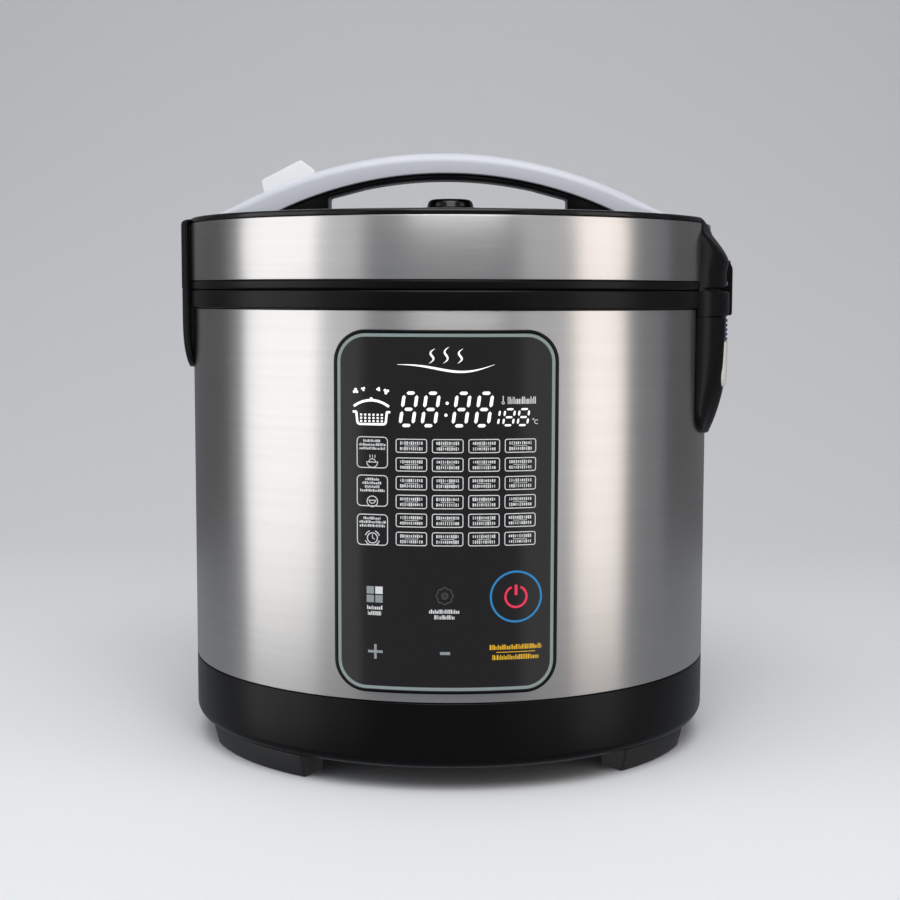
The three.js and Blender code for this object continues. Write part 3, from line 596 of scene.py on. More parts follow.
ribs_piece = grown("grip_ribs", grip_tree, grip_sockets, {k: v for k, (_, v) in grip_sizes.items()})
ribs_piece.data.transform(Matrix.Translation((grip_high.x - 0.85 * MM, axis.y, grip_low.z + 1 * MM)))
soften(ribs_piece, 0.45 * MM, 3)
fit(ribs_piece, "cup", "slate_plastic", "cup_grip")
plate_loops = []
grip_top = ring_low.z - seam_gap
for z in (grip_low.z, grip_low.z + 0.5 * MM, grip_top - 0.5 * MM, grip_top):
    plate_loops.append(cup_loop(z, 1 * MM, grip_low.x - axis.x, 1.5 * MM))
grip_plate = stack("grip_plate", plate_loops, slate_abs)
soften(grip_plate, 0.3 * MM, 2)
fit(grip_plate, "cup", "slate_plastic", "cup_grip")

# ---- Hinge tongue ----------------------------------------------------------------------
# A black ABS tongue stands up from the body between the lid's two ears and carries the steel
# pin. It is hollow, for the lid spring, and its outer face runs down over the ring.
tongue_low, tongue_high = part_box("hinge_tongue")
pin_low, pin_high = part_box("hinge_pin")
pin = Vector(((pin_low.x + pin_high.x) / 2, 0, (pin_low.z + pin_high.z) / 2))
skirt_x = axis.x + rear_bulge + 0.3 * MM
seam = ring_high.z + 0.3 * MM


def across(name, outline, low_y, high_y, material):
    """An outline of (x, z) points pulled from one y to another."""
    return stack(name, [[(x, y, z) for x, z in outline] for y in (low_y, high_y)], material)


tongue_side = rounded(
    [(skirt_x, tongue_low.z), (tongue_high.x, tongue_low.z), (tongue_high.x, tongue_high.z),
     (tongue_low.x, tongue_high.z), (tongue_low.x, seam), (skirt_x, seam)],
    [0.3 * MM, 5 * MM, 5 * MM, 2.4 * MM, 0.3 * MM, 0])
tongue_loops = []
tongue_bow = 2.6 * MM
for i in range(13):
    t = -1 + i / 6
    bow_in = tongue_bow * t * t
    span = tongue_high.x - skirt_x
    tongue_loops.append([(x - bow_in * max(0.0, min(1.0, (x - skirt_x + 1 * MM) / span)),
                          axis.y + t * (tongue_high.y - tongue_low.y) / 2, z) for x, z in tongue_side])
tongue = stack("hinge_tongue_moulding", tongue_loops, black_abs)
cut(tongue, block("hollow", (tongue_low.x + 1.6 * MM, tongue_low.y + wall, seam - 5 * MM),
                  (tongue_high.x - 2 * MM, tongue_high.y - wall, tongue_high.z - 2.2 * MM), black_abs))
soften(tongue, 0.6 * MM, 3, 40)
fit(tongue, "cooker", "black_gloss", "hinge_tongue")

# ---- Latch covers ----------------------------------------------------------------------
# Two black ABS covers hide the latch, one on the lid and one on the body below it.
# Their long edges are chamfered, and a shadow groove runs beside the drum.
latch_low, latch_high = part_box("lid_latch_cover")
keeper_low, keeper_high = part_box("latch_cover_lower")
latch_half = (latch_high.y - latch_low.y) / 2
latch_reach = axis.x - latch_low.x


def latch_loop(z, reach, half, inner):
    """One level of a latch cover: an outer face round the axis with chamfered edges, and an inner one."""
    chamfer = 2.7 * MM
    edge = math.sqrt((reach - 1.6 * MM) ** 2 - half ** 2)
    inward = half - 2.2 * MM
    outer = [(math.sqrt(inner ** 2 - inward ** 2), inward), (edge - 1.3 * MM, inward),
             (edge - 1.25 * MM, half), (edge, half - 0.25 * MM)]
    for i in range(17):
        y = (half - chamfer) * (1 - i / 8)
        outer.append((math.sqrt(reach ** 2 - y ** 2), y))
    points = outer + [(x, -y) for x, y in reversed(outer[:4])]
    turn_in = math.asin(inward / inner)
    for i in range(1, 24):
        a = -turn_in * (1 - i / 12)
        points.append((inner * math.cos(a), inner * math.sin(a)))
    return [(axis.x - x, axis.y - y, z) for x, y in points]


def latch_cover(name, levels, inner):
    return stack(name, [latch_loop(z, reach, half, inner) for z, reach, half in levels], black_abs)


top = latch_high.z
lid_cover_levels = [(keeper_high.z + seam_gap, latch_reach - 0.4 * MM, latch_half),
                    (latch_low.z + 0.6 * MM, latch_reach, latch_half),
                    (top - 2.4 * MM, latch_reach, latch_half),
                    (top - 1.2 * MM, latch_reach - 0.4 * MM, latch_half),
                    (top - 0.4 * MM, latch_reach - 1.6 * MM, latch_half - 0.2 * MM),
                    (top, latch_reach - 3 * MM, latch_half - 0.6 * MM)]
lid_latch = latch_cover("lid_latch_moulding", lid_cover_levels, lid_radius + 0.15 * MM)
fit(lid_latch, "lid", "black_gloss", "lid_latch_cover", sharp=25)
keeper_levels = []
for i in range(15):
    t = (i / 14) ** 1.4
    z = keeper_low.z + t * (keeper_high.z - keeper_low.z)
    drop = (keeper_high.z - z) / (keeper_high.z - keeper_low.z)
    rise = min(9 * MM, z - keeper_low.z)
    narrow = 9 * MM - math.sqrt(max(0, (9 * MM) ** 2 - (9 * MM - rise) ** 2))
    keeper_levels.append((z, latch_reach - 0.2 * MM - 3.6 * MM * drop ** 5, latch_half - narrow))
keeper = latch_cover("body_latch_moulding", keeper_levels, lid_radius + 0.15 * MM)
fit(keeper, "cooker", "black_gloss", "latch_cover_lower", sharp=25)

# ---- Lid band and lid ring -------------------------------------------------------------
# A band of the same brushed steel wraps the lid. Under it the black ABS lid ring closes on the
# body, with a notch behind for the hinge tongue and a slot for the latch hook.
notch_node = "lid_base"
floor_low, floor_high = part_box(notch_node)


def notch():
    """The space that the hinge tongue needs inside the lid."""
    radius, half = 15 * MM, 25 * MM
    turns = [2 * math.pi * i / 48 for i in range(48)]
    loop = [(pin.x + radius * math.cos(a), pin.z + radius * math.sin(a)) for a in turns]
    return across("notch", loop, axis.y - half, axis.y + half, black_abs)


band = turned("lid_band_sheet", rounded(
    [(lid_radius, lid_low.z), (lid_radius, lid_high.z), (lid_radius - sheet, lid_high.z),
     (lid_radius - sheet, lid_low.z)], 0.35 * MM, 3), brushed_steel, 240)
cut(band, notch())
fit(band, "lid", "steel", "lid_band")

strip_top = lid_low.z - 0.3 * MM
seam_low = ring_high.z + seam_gap
inside = lid_radius - sheet - 0.3 * MM
lid_ring = turned("lid_ring", rounded(
    [(113 * MM, seam_low), (lid_radius, seam_low), (lid_radius, strip_top), (inside, strip_top),
     (inside, floor_high.z), (inside - wall, floor_high.z), (inside - wall, floor_low.z + wall),
     (113 * MM, floor_low.z + wall)],
    [0.6 * MM, 1.2 * MM, 0.8 * MM, 0.2 * MM, 0.3 * MM, 0.3 * MM, 1 * MM, 0.6 * MM], 4), black_abs)
cut(lid_ring, notch(), block("slot", (axis.x - 136.8 * MM, axis.y - 8.5 * MM, 236 * MM),
                             (axis.x - 126 * MM, axis.y + 8.5 * MM, 246 * MM), black_abs))
fit(lid_ring, "lid", "black_gloss", "lid_base")

# ---- Lid cover -------------------------------------------------------------------------
# The top of the lid is one gently domed moulding of gloss black ABS with a rolled rim.
# A shallow dish in its middle takes the steam vent, and over the hinge the rim is sloped.
gloss_abs = grained("polished_black_abs", "#070708", 0.16, 0.9, 0.0015, smears=0.04, shine=0.3)
cover_low, cover_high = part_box("lid_top")
vent_low, vent_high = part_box("steam_vent")
vent_radius = (vent_high.y - vent_low.y) / 2
hole = 12.2 * MM
fall = 3 * MM


def crown(r):
    """Height of the lid's top at a radius."""
    return cover_high.z - fall * (r / lid_radius) ** 2


def facet():
    """What is taken off the lid's rim over the hinge, so that it falls straight into the hinge cover."""
    slope = [(139.9, 266.5), (125.6, 276), (125.6, 282), (165, 282), (165, 266.5)]
    half = 75 * MM
    return across("facet", [(axis.x + x * MM, z * MM) for x, z in slope],
                  axis.y - half, axis.y + half, black_abs)


rim_edge = rounded([(134 * MM, cover_low.z), (lid_radius, cover_low.z), (lid_radius, 274.7 * MM),
                    (132 * MM, crown(132 * MM))], [0, 0.4 * MM, 1.6 * MM, 0], 5)
lid_outline = [(hole, 275.2 * MM), (90 * MM, 274 * MM)] + [tuple(p) for p in rim_edge]
lid_outline += [(r * MM, crown(r * MM)) for r in (124, 112, 98, 84, 70, 56, 42, 32, 27)]
lid_outline += [(25.5 * MM, crown(25.5 * MM) - 0.1 * MM), (24.6 * MM, crown(0) - 0.7 * MM),
                (hole + 0.4 * MM, crown(0) - 0.7 * MM), (hole, crown(0) - 1.0 * MM)]
lid_cover = turned("lid_cover", lid_outline, gloss_abs, 240)
cut(lid_cover, facet())
fit(lid_cover, "lid", "black_gloss", "lid_top")

# ---- Hinge cover -----------------------------------------------------------------------
# The lid's rear cover is black ABS. It starts under the rim's slope, falls outside the band, and
# ends in two ears that turn on the pin, so its lower edge is rounded about the pin.
cover_face = [(237.9, 4.5), (238.6, 4.4), (238.8, 3.3), (239.3, 2.5), (239.8, 2.0), (240.4, 1.7),
              (241.5, 1.45), (244, 1.5), (247, 1.7), (250, 1.1), (252.6, 0.4), (256, 0), (274, 0)]
cover_roll = [(237.9, 152), (252.6, 149.2), (256.5, 147.4), (260, 145.2), (263.5, 142.6), (266.5, 140.1),
              (268, 139.3), (273.4, 139.1)]


def between(table, z):
    """A value read off a table of (height, value) rows."""
    for (low, first), (high, last) in zip(table, table[1:]):
        if low <= z <= high:
            return first + (last - first) * (z - low) / (high - low)
    return table[0][1] if z < table[0][0] else table[-1][1]


def lid_rear_loop(z, inner):
    """One level of the hinge cover: the plan, kept inside a circle that rolls over the lid's rim."""
    inset, roll = between(cover_face, z / MM) * MM, between(cover_roll, z / MM) * MM
    half = []
    for p in rear_half_plan():
        drawn = inset * max(0.0, min(1.0, (p.x - 127 * MM) / (14 * MM)))
        point = Vector((p.x - drawn, p.y))
        if point.length > roll:
            point *= roll / point.length
        half.append(point)
    points = [(p.x, -p.y) for p in half] + [(min(rear_bulge - inset, roll), 0)]
    points += [(p.x, p.y) for p in reversed(half)]
    for i in range(1, 28):
        a = math.asin(rear_half / inner) * (1 - i / 14)
        points.append((inner * math.cos(a), inner * math.sin(a)))
    return [(axis.x + x, axis.y + y, z) for x, y in points]


cover_heights = [ring_high.z / MM + seam_mm, 238.6, 238.8, 239.3, 239.8, 240.4, 241, 241.5, 244,
                 247, 250, 252.6, 254.5, 256.5, 258.4, 260, 261.8, 263.6, 265.4, 267, 268.6, 270,
                 271.2, 272.2, 273, 273.4]
hinge_cover = stack("hinge_cover", [lid_rear_loop(z * MM, lid_radius + 0.12 * MM) for z in cover_heights],
                    black_abs)
cut(hinge_cover, notch(), facet())
fit(hinge_cover, "lid", "black_gloss", "lid_hinge_cover", sharp=40)

# ---- Carrying handle -------------------------------------------------------------------
# A flat bow of satin grey ABS spans the lid. Its upper face is crowned and its edges are
# softly rounded; a black liner is screwed up into it from inside the lid.
handle_low, handle_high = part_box("handle_shell")
liner_low, liner_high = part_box("handle_liner")
outer_arc = Vector((-4, 78, 233)) * MM
inner_arc = Vector((-2, 89, 210.4)) * MM
finger_arc = Vector((-2.4, 82.6, 214)) * MM


def arc_height(arc, x):
    """Height of a handle's arc, (middle, centre height, radius), at a distance from the axis."""
    return arc.y + math.sqrt(max(0.0, arc.z ** 2 - (x - arc.x) ** 2))


grey_abs = grained("moulded_grey_abs", "#c9ccd4", 0.36, 0.5, 0.004)
handle_half = (handle_high.y - handle_low.y) / 2
loops = []
stations = 96
for i in range(stations + 1):
    x = handle_low.x - axis.x + (handle_high.x - handle_low.x) * i / stations
    high = arc_height(outer_arc, x)
    low = max(arc_height(inner_arc, x), crown(x) + 0.15 * MM)
    thick = max(high - low, 0.12 * MM)
    shoulder = min(5 * MM, 0.6 * thick)
    crowned = 0.9 * MM * min(1, thick / (6 * MM))
    section = rounded(
        [(-handle_half, low), (handle_half, low), (handle_half, low + thick - crowned),
         (0, low + thick), (-handle_half, low + thick - crowned)],
        [min(0.8 * MM, 0.3 * thick), min(0.8 * MM, 0.3 * thick), shoulder, 60 * MM, shoulder], 5)
    loops.append([(axis.x + x, axis.y + y, z) for y, z in section])
handle = stack("handle_bow", loops, grey_abs)

button_low, button_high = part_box("release_button")
slope = math.radians(24.5)
button_at = axis + Vector((-86.5, 0, 295.9)) * MM


def on_slope(along, above):
    """A point along and above the release button's seat, as (x, z)."""
    x = button_at.x + (along * math.cos(slope) - above * math.sin(slope)) * MM
    return x, button_at.z + (along * math.sin(slope) + above * math.cos(slope)) * MM


well_half = 11.4 * MM
well_outline = rounded([on_slope(-14.5, -9.5), on_slope(15.5, -9.5), on_slope(15.5, 20), on_slope(-14.5, 20)],
                       0.6 * MM, 3)
well = across("well", well_outline, axis.y - well_half, axis.y + well_half, grey_abs)
cut(handle, well)
fit(handle, "lid", "grey_plastic", "handle_shell", sharp=35)

# ---- Handle liner ----------------------------------------------------------------------
# Black ABS under the grey bow: a thin strip over the fingers and a wedge at each end that
# stands on the lid, with upright walls at both sides of the finger gap.
finger_left, finger_right = -65 * MM, 62.5 * MM
liner_half = (liner_high.y - liner_low.y) / 2
left_x, right_x = liner_low.x - axis.x, liner_high.x - axis.x
shape = []
for i in range(41):
    x = right_x + (left_x - right_x) * i / 40
    shape.append((x, arc_height(inner_arc, x) - 0.15 * MM))
shape[0] = (right_x, crown(right_x) + 0.35 * MM)
shape[-1] = (left_x, crown(left_x) + 0.35 * MM)
shape += [(x, crown(x) + 0.15 * MM) for x in (left_x, -80 * MM)]
shape += rounded([(-80 * MM, crown(0)), (finger_left, crown(65 * MM) + 0.15 * MM),
                  (finger_left, arc_height(finger_arc, finger_left)),
                  (-40 * MM, arc_height(finger_arc, -40 * MM))],
                 [0, 0.5 * MM, 1.8 * MM, 0], 4)[1:-1]
for i in range(1, 24):
    x = -50 * MM + 98 * MM * i / 24
    shape.append((x, arc_height(finger_arc, x)))
shape += rounded([(45 * MM, arc_height(finger_arc, 45 * MM)),
                  (finger_right, arc_height(finger_arc, finger_right)),
                  (finger_right, crown(finger_right) + 0.15 * MM), (80 * MM, crown(0))],
                 [0, 1.8 * MM, 0.5 * MM, 0], 4)[1:-1]
shape.append((80 * MM, crown(80 * MM) + 0.15 * MM))
liner = across("handle_liner_moulding", [(axis.x + x, z) for x, z in shape],
               axis.y - liner_half, axis.y + liner_half, black_abs)
soften(liner, 0.5 * MM, 2, 50)
fit(liner, "lid", "black_gloss", "handle_liner")

# ---- Release button --------------------------------------------------------------------
# A wedge of white ABS stands out of the handle's left slope. It is pressed into its well to
# free the lid; its face is a plain slope with rounded edges.
white_abs = grained("moulded_white_abs", "#f4f5f7", 0.34, 0.5, 0.004)
cap = rounded([on_slope(-14, -5), on_slope(15, -5), on_slope(15, -0.5), on_slope(10.8, 6.9),
               on_slope(-12.6, 5.8), on_slope(-14, 1)],
              [0.2 * MM, 0.2 * MM, 0.5 * MM, 1.3 * MM, 1.3 * MM, 0.5 * MM], 5)
button = across("release_button_cap", cap, button_low.y, button_high.y, white_abs)
soften(button, 1.1 * MM, 4, 50)
fit(button, "button", "white_plastic", "release_button")

# ---- Steam vent ------------------------------------------------------------------------
# A black ABS cap lifts out of the lid for washing. Steam leaves through slots around its dome;
# its stem carries a silicone ring.
vent = turned("vent_cap", rounded(
    [(0, vent_low.z), (9 * MM, vent_low.z), (9 * MM, 278.3 * MM), (vent_radius, 278.3 * MM),
     (vent_radius, 281.3 * MM), (12.6 * MM, 282 * MM), (11.6 * MM, vent_high.z - 0.5 * MM), (0, vent_high.z)],
    [0, 0.5 * MM, 0.3 * MM, 0.5 * MM, 1.4 * MM, 0.6 * MM, 3.2 * MM, 0], 5), gloss_abs, 96)
slot_tree = bpy.data.node_groups.new("vent_slots", "GeometryNodeTree")
slot_tree.interface.new_socket("Geometry", in_out="OUTPUT", socket_type="NodeSocketGeometry")
slot_sizes = {"Count": ("NodeSocketInt", 10), "Circle": ("NodeSocketFloat", 17 * MM),
              "Length": ("NodeSocketFloat", 6 * MM), "Width": ("NodeSocketFloat", 1.6 * MM),
              "Depth": ("NodeSocketFloat", 3 * MM)}
slot_sockets = {}
for name, (kind, value) in slot_sizes.items():
    slot_sockets[name] = slot_tree.interface.new_socket(name, in_out="INPUT", socket_type=kind).identifier
given = add(slot_tree, "NodeGroupInput")
circle = add(slot_tree, "GeometryNodeMeshCircle", links={
    "Vertices": given.outputs["Count"], "Radius": given.outputs["Circle"]})
size = add(slot_tree, "ShaderNodeCombineXYZ", links={
    "X": given.outputs["Length"], "Y": given.outputs["Width"], "Z": given.outputs["Depth"]})
tooth = add(slot_tree, "GeometryNodeMeshCube", links={"Size": size.outputs[0]})
where = add(slot_tree, "GeometryNodeInputPosition")
facing = add(slot_tree, "FunctionNodeAlignRotationToVector", links={"Vector": where.outputs[0]}, axis="X")
teeth = add(slot_tree, "GeometryNodeInstanceOnPoints", links={
    "Points": circle.outputs[0], "Instance": tooth.outputs[0], "Rotation": facing.outputs[0]})
real = add(slot_tree, "GeometryNodeRealizeInstances", links={0: teeth.outputs[0]})
painted = add(slot_tree, "GeometryNodeSetMaterial", {"Material": gloss_abs}, {"Geometry": real.outputs[0]})
add(slot_tree, "NodeGroupOutput", links={0: painted.outputs[0]})
slots = grown("slots", slot_tree, slot_sockets, {k: v for k, (_, v) in slot_sizes.items()})
slots.data.transform(Matrix.Translation(axis + Vector((0, 0, 281.9 * MM))))
cut(vent, slots)
fit(vent, "vent", "black_gloss", "steam_vent", sharp=35)

# ---- Control panel ---------------------------------------------------------------------
# A curved gloss-black front in a slim ABS frame, bent to the drum. Its keys are printed on
# the back of the film and work by touch, so nothing on it travels.
bezel_low, bezel_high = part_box("panel_bezel")
panel_radius = axis.y - bezel_low.y
panel_half = (bezel_high.x - bezel_low.x) / 2
panel_corner = 15 * MM


def on_panel(x, z, radius):
    """A point of the panel, as seen from the front, put on its curve."""
    return axis.x + x, axis.y - math.sqrt(radius ** 2 - x ** 2), z


def panel_path(inward, steps=12):
    """The panel's outline, inward of its edge by a distance, with points close enough to bend."""
    half, low, high = panel_half - inward, bezel_low.z + inward, bezel_high.z - inward
    r = panel_corner - inward
    points = []
    for cx, cz, first in ((half - r, low + r, -90), (half - r, high - r, 0), (r - half, high - r, 90),
                          (r - half, low + r, 180)):
        for i in range(steps + 1):
            a = math.radians(first + 90 * i / steps)
            points.append((cx + r * math.cos(a), cz + r * math.sin(a)))
        nx, nz = points[-1]
        runs = 20
        ends = {-90: (nx, high - r), 0: (r - half, nz), 90: (nx, low + r), 180: (half - r, nz)}[first]
        for i in range(1, runs):
            points.append((nx + (ends[0] - nx) * i / runs, nz + (ends[1] - nz) * i / runs))
    return points


def panel_band(name, profile, material):
    """A closed band around the panel; profile is a closed row of (inward, radius) points."""
    rows = [[on_panel(x, z, radius) for x, z in panel_path(inward)] for inward, radius in profile]
    count, verts, faces = len(rows[0]), [p for row in rows for p in row], []
    for i in range(len(rows)):
        j = (i + 1) % len(rows)
        for k in range(count):
            n = (k + 1) % count
            faces.append((i * count + k, i * count + n, j * count + n, j * count + k))
    return build(name, verts, faces, material)


bezel_width = 1.7 * MM
bezel = panel_band("panel_frame", [
    (0.0, drum_radius + 0.2 * MM), (0.0, panel_radius - 0.8 * MM), (0.25 * MM, panel_radius - 0.2 * MM),
    (0.8 * MM, panel_radius), (1.4 * MM, panel_radius), (bezel_width, panel_radius - 0.25 * MM),
    (bezel_width, drum_radius + 0.2 * MM)], black_abs)
fit(bezel, "cooker", "black_gloss", "panel_bezel", sharp=40)

film, film_tree, film_shader, film_where = new_material(
    "printed_polycarbonate_film", "#151213", 0.13, ior=1.58)
haze = add(film_tree, "ShaderNodeTexNoise", {"Scale": 9, "Detail": 4}, {"Vector": film_where})
haze_range = add(film_tree, "ShaderNodeMapRange", {"To Min": 0.1, "To Max": 0.2}, {"Value": haze.outputs[0]})
film_tree.links.new(haze_range.outputs[0], film_shader.inputs["Roughness"])
face_radius = panel_radius - 0.35 * MM
columns, rows_count = 60, 24
front_in = bezel_width + 0.02 * MM
half, low, high = panel_half - front_in, bezel_low.z + front_in, bezel_high.z - front_in
r = panel_corner - front_in
verts = []
for radius in (face_radius, drum_radius + 0.6 * MM):
    for i in range(columns + 1):
        x = half * math.sin(math.radians(-90 + 180 * i / columns))
        over = max(0.0, abs(x) - (half - r))
        trim = r - math.sqrt(max(0.0, r ** 2 - over ** 2))
        for j in range(rows_count + 1):
            verts.append(on_panel(x, low + trim + (high - low - 2 * trim) * j / rows_count, radius))
faces, sheet_size, rows_full = [], (columns + 1) * (rows_count + 1), rows_count + 1
for i in range(columns):
    for j in range(rows_count):
        a = i * rows_full + j
        faces.append((a, a + rows_full, a + rows_full + 1, a + 1))
        faces.append(tuple(sheet_size + v for v in (a, a + 1, a + rows_full + 1, a + rows_full)))
for i in range(columns):
    for a in (i * rows_full, i * rows_full + rows_count):
        faces.append((a, a + rows_full, a + rows_full + sheet_size, a + sheet_size))
for j in range(rows_count):
    for a in (j, columns * rows_full + j):
        faces.append((a, a + 1, a + 1 + sheet_size, a + sheet_size))
front = build("panel_film", verts, faces, film)
fit(front, "cooker", "panel_glass", "panel_lens", sharp=40)

# ---- Panel print -----------------------------------------------------------------------
# White, grey and coloured ink on the panel's front, each line a thin raised film bent to the
# curve. The lettering is left as plain ticks, and the mark on top is three wisps of steam.
ink_low, ink_high = face_radius + 0.05 * MM, face_radius + 0.09 * MM


def stroke(points, width, closed=False):
    """An inked line through flat points, as a pair of edges with mitred corners."""
    longest, fine = 2.5, []
    for i, point in enumerate(points if closed else points[:-1]):
        onward = points[(i + 1) % len(points)]
        cuts = max(1, math.ceil((Vector(onward) - Vector(point)).length / longest))
        fine += [tuple(Vector(point).lerp(Vector(onward), k / cuts)) for k in range(cuts)]
    points = fine if closed else fine + [points[-1]]
    left, right_edge, count = [], [], len(points)
    for i, point in enumerate(points):
        here = Vector(point)
        before = Vector(points[i - 1]) if i or closed else here
        after = Vector(points[(i + 1) % count]) if i < count - 1 or closed else here
        into, out = (here - before), (after - here)
        into = into.normalized() if into.length > 1e-9 else out.normalized()
        out = out.normalized() if out.length > 1e-9 else into
        bisect = (into + out).normalized()
        side_way = Vector((-bisect.y, bisect.x)) * (width / 2 / max(0.4, bisect.dot(into)))
        left.append(here + side_way)
        right_edge.append(here - side_way)
    return left, right_edge, closed


def bar(x0, z0, x1, z1, width):
    """An inked bar between two points."""
    return stroke([(x0, z0), (x1, z1)], width)


def arc(x, z, radius, first=0, last=360, count=40):
    """Flat points along an arc, with angles in degrees."""
    whole = last - first >= 360
    return [(x + radius * math.cos(math.radians(first + (last - first) * i / count)),
             z + radius * math.sin(math.radians(first + (last - first) * i / count)))
            for i in range(count if whole else count + 1)]


def dot(x, z, radius):
    """An inked dot, as two edges of half its outline."""
    ring = arc(x, z, radius, 0, 180, 8)
    return ring, [(px, 2 * z - pz) for px, pz in ring], False


def tile(x, z, width, height, radius):
    """Flat points of a rounded rectangle centred on a point."""
    w, h = width / 2, height / 2
    corners = [(x - w, z - h), (x + w, z - h), (x + w, z + h), (x - w, z + h)]
    return [tuple(p) for p in rounded(corners, radius, 4)]


def ticks(x, z, width, height, seed):
    """Plain ticks in a row, where a line of small lettering would stand."""
    dice, made, at = random.Random(seed), [], x - width / 2
    while at < x + width / 2 - 0.35:
        wide = dice.choice((0.3, 0.45, 0.7))
        tall = height * dice.choice((0.7, 1, 1))
        made.append(bar(at + wide / 2, z - height / 2, at + wide / 2, z - height / 2 + tall, wide))
        at += wide + 0.28
    return made


def printed(name, shapes, ink):
    """Bends flat shapes, in mm from the panel's centre line and from the floor, onto the panel."""
    verts, faces = [], []
    for left, right_edge, closed in shapes:
        first, count = len(verts), len(left)
        for radius in (ink_high, ink_low):
            for edge_points in (left, right_edge):
                verts += [on_panel(p[0] * MM, p[1] * MM, radius) for p in edge_points]
        a, b, c, d = (first + count * i for i in range(4))
        for i in range(count if closed else count - 1):
            n = (i + 1) % count
            faces += [(a + i, a + n, b + n, b + i), (d + i, d + n, c + n, c + i),
                      (c + i, c + n, a + n, a + i), (b + i, b + n, d + n, d + i)]
        if not closed:
            faces += [(a, b, d, c), (a + count - 1, c + count - 1, d + count - 1, b + count - 1)]
    made = build(name, verts, faces, ink)
    weld = bmesh.new()
    weld.from_mesh(made.data)
    bmesh.ops.remove_doubles(weld, verts=weld.verts, dist=1e-7)
    bmesh.ops.dissolve_degenerate(weld, edges=weld.edges, dist=1e-7)
    bmesh.ops.recalc_face_normals(weld, faces=weld.faces)
    weld.to_mesh(made.data)
    weld.free()
    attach(made, "cooker")
    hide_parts("panel_lens")
    return made


def ink(name, code, glow=0.0):
    """Screen ink: an even colour, worn a little thin in a fine mottle, with a faint painted glow of its own
    colour, though the print is no lamp.
    """
    made, tree, shader, where = new_material(name, code, 0.4)
    mottle = add(tree, "ShaderNodeTexNoise", {"Scale": 4000, "Detail": 2}, {"Vector": where})
    thin = add(tree, "ShaderNodeMix", data_type="RGBA")
    thin.inputs[6].default_value = linear(code)
    thin.inputs[7].default_value = [c * 0.86 for c in linear(code)[:3]] + [1]
    tree.links.new(mottle.outputs[0], thin.inputs[0])
    tree.links.new(thin.outputs[2], shader.inputs["Base Color"])
    tree.links.new(thin.outputs[2], shader.inputs["Emission Color"])
    shader.inputs["Emission Strength"].default_value = glow
    return made


# Every ink is given a painted glow in its own colour, strongest on the white marks; none of this print is a
# lamp.
white_ink = ink("white_ink_painted_glow", "#f4f4f4", 0.55)
pale_ink = ink("pale_screen_ink", "#c9cbcb", 0.25)
frame_ink = ink("grey_frame_ink", "#84918f", 0.12)
grey_ink = ink("grey_key_ink", "#858c8c", 0.22)
dim_ink = ink("dim_key_ink", "#4d4d4e", 0.1)
blue_ink = ink("blue_ring_ink", "#1f7ab2", 0.25)
red_ink = ink("red_ink_painted_glow", "#dd2a4c", 0.3)
yellow_ink = ink("yellow_screen_ink", "#d3a41c", 0.25)

line_in = 2.55 * MM
line_path = [(x / MM, z / MM) for x, z in panel_path(line_in)]
printed("frame_line", [stroke(line_path, 1.5, True)], frame_ink)

mark = []
wisps = [[(x + 1.3 * math.sin(t * math.pi / 8) - 1.2 + t * 0.16, 204.0 + t * (0.42 + 0.05 * (x == 0)))
          for t in range(17)] for x in (-6.5, 0, 6.5)]
swash = [(-22.5 + t * 2.8, 203.4 - 2.6 * math.sin(t * math.pi / 16) + 1.2 * math.sin(t * math.pi / 8))
         for t in range(17)]
for path, width in [(wisp, 1.0) for wisp in wisps] + [(swash, 1.1)]:
    left, right_edge, _ = stroke(path, width)
    for t, (a, b) in enumerate(zip(left, right_edge)):
        thin = 0.12 + 0.88 * math.sin(math.pi * t / (len(left) - 1))
        middle = (a + b) / 2
        left[t], right_edge[t] = middle.lerp(a, thin), middle.lerp(b, thin)
    mark.append((left, right_edge, False))
printed("steam_mark", mark, white_ink)


def digit(x, z, wide, tall, thick, segments, lean=0.14):
    """A seven-segment numeral with mitred ends, leaning a little, from its lower left corner."""
    gap, half_tall = thick * 0.62, tall / 2
    spots = {"bottom": (gap, 0, wide - gap, 0), "middle": (gap, half_tall, wide - gap, half_tall),
             "top": (gap, tall, wide - gap, tall), "low_left": (0, gap, 0, half_tall - gap),
             "high_left": (0, half_tall + gap, 0, tall - gap),
             "low_right": (wide, gap, wide, half_tall - gap),
             "high_right": (wide, half_tall + gap, wide, tall - gap)}
    made = []
    for key in segments:
        x0, z0, x1, z1 = spots[key]
        run = Vector((x1 - x0, z1 - z0))
        way, over = run.normalized(), Vector((-(z1 - z0), x1 - x0)).normalized() * thick / 2
        start, end, point = Vector((x0, z0)), Vector((x1, z1)), way * thick / 2
        upper = [start, start + point + over * 0.98, end - point + over * 0.98, end]
        lower = [start, start + point - over * 0.98, end - point - over * 0.98, end]
        shear = [[(x + p.x + lean * p.y, z + p.y) for p in row] for row in (upper, lower)]
        made.append((shear[0], shear[1], False))
    return made


every = ("bottom", "middle", "top", "low_left", "high_left", "low_right", "high_right")
clock = []
for x in (-21.2, -11.0, 3.2, 13.6):
    clock += digit(x, 175.3, 5.9, 15.0, 1.55, every)
clock += [dot(0.6, 185.7, 0.75), dot(0.05, 180.2, 0.75)]
clock += digit(24.0, 175.4, 0.6, 7.4, 0.95, ("low_left", "high_left"))
for x in (26.4, 33.1):
    clock += digit(x, 175.4, 4.5, 7.4, 0.95, every)
printed("clock_numerals", clock, white_ink)

small = [stroke(arc(26.4, 185.8, 0.55, 0, 360, 16), 0.35, True), bar(26.4, 186.3, 26.4, 189.0, 0.45)]
small += ticks(35.0, 186.9, 13.0, 3.3, 31)
small += [stroke(arc(40.5, 178.1, 0.35, 0, 360, 12), 0.25, True),
          stroke(arc(42.0, 176.8, 0.9, 50, 310, 12), 0.35)]
printed("temperature_mark", small, pale_ink)

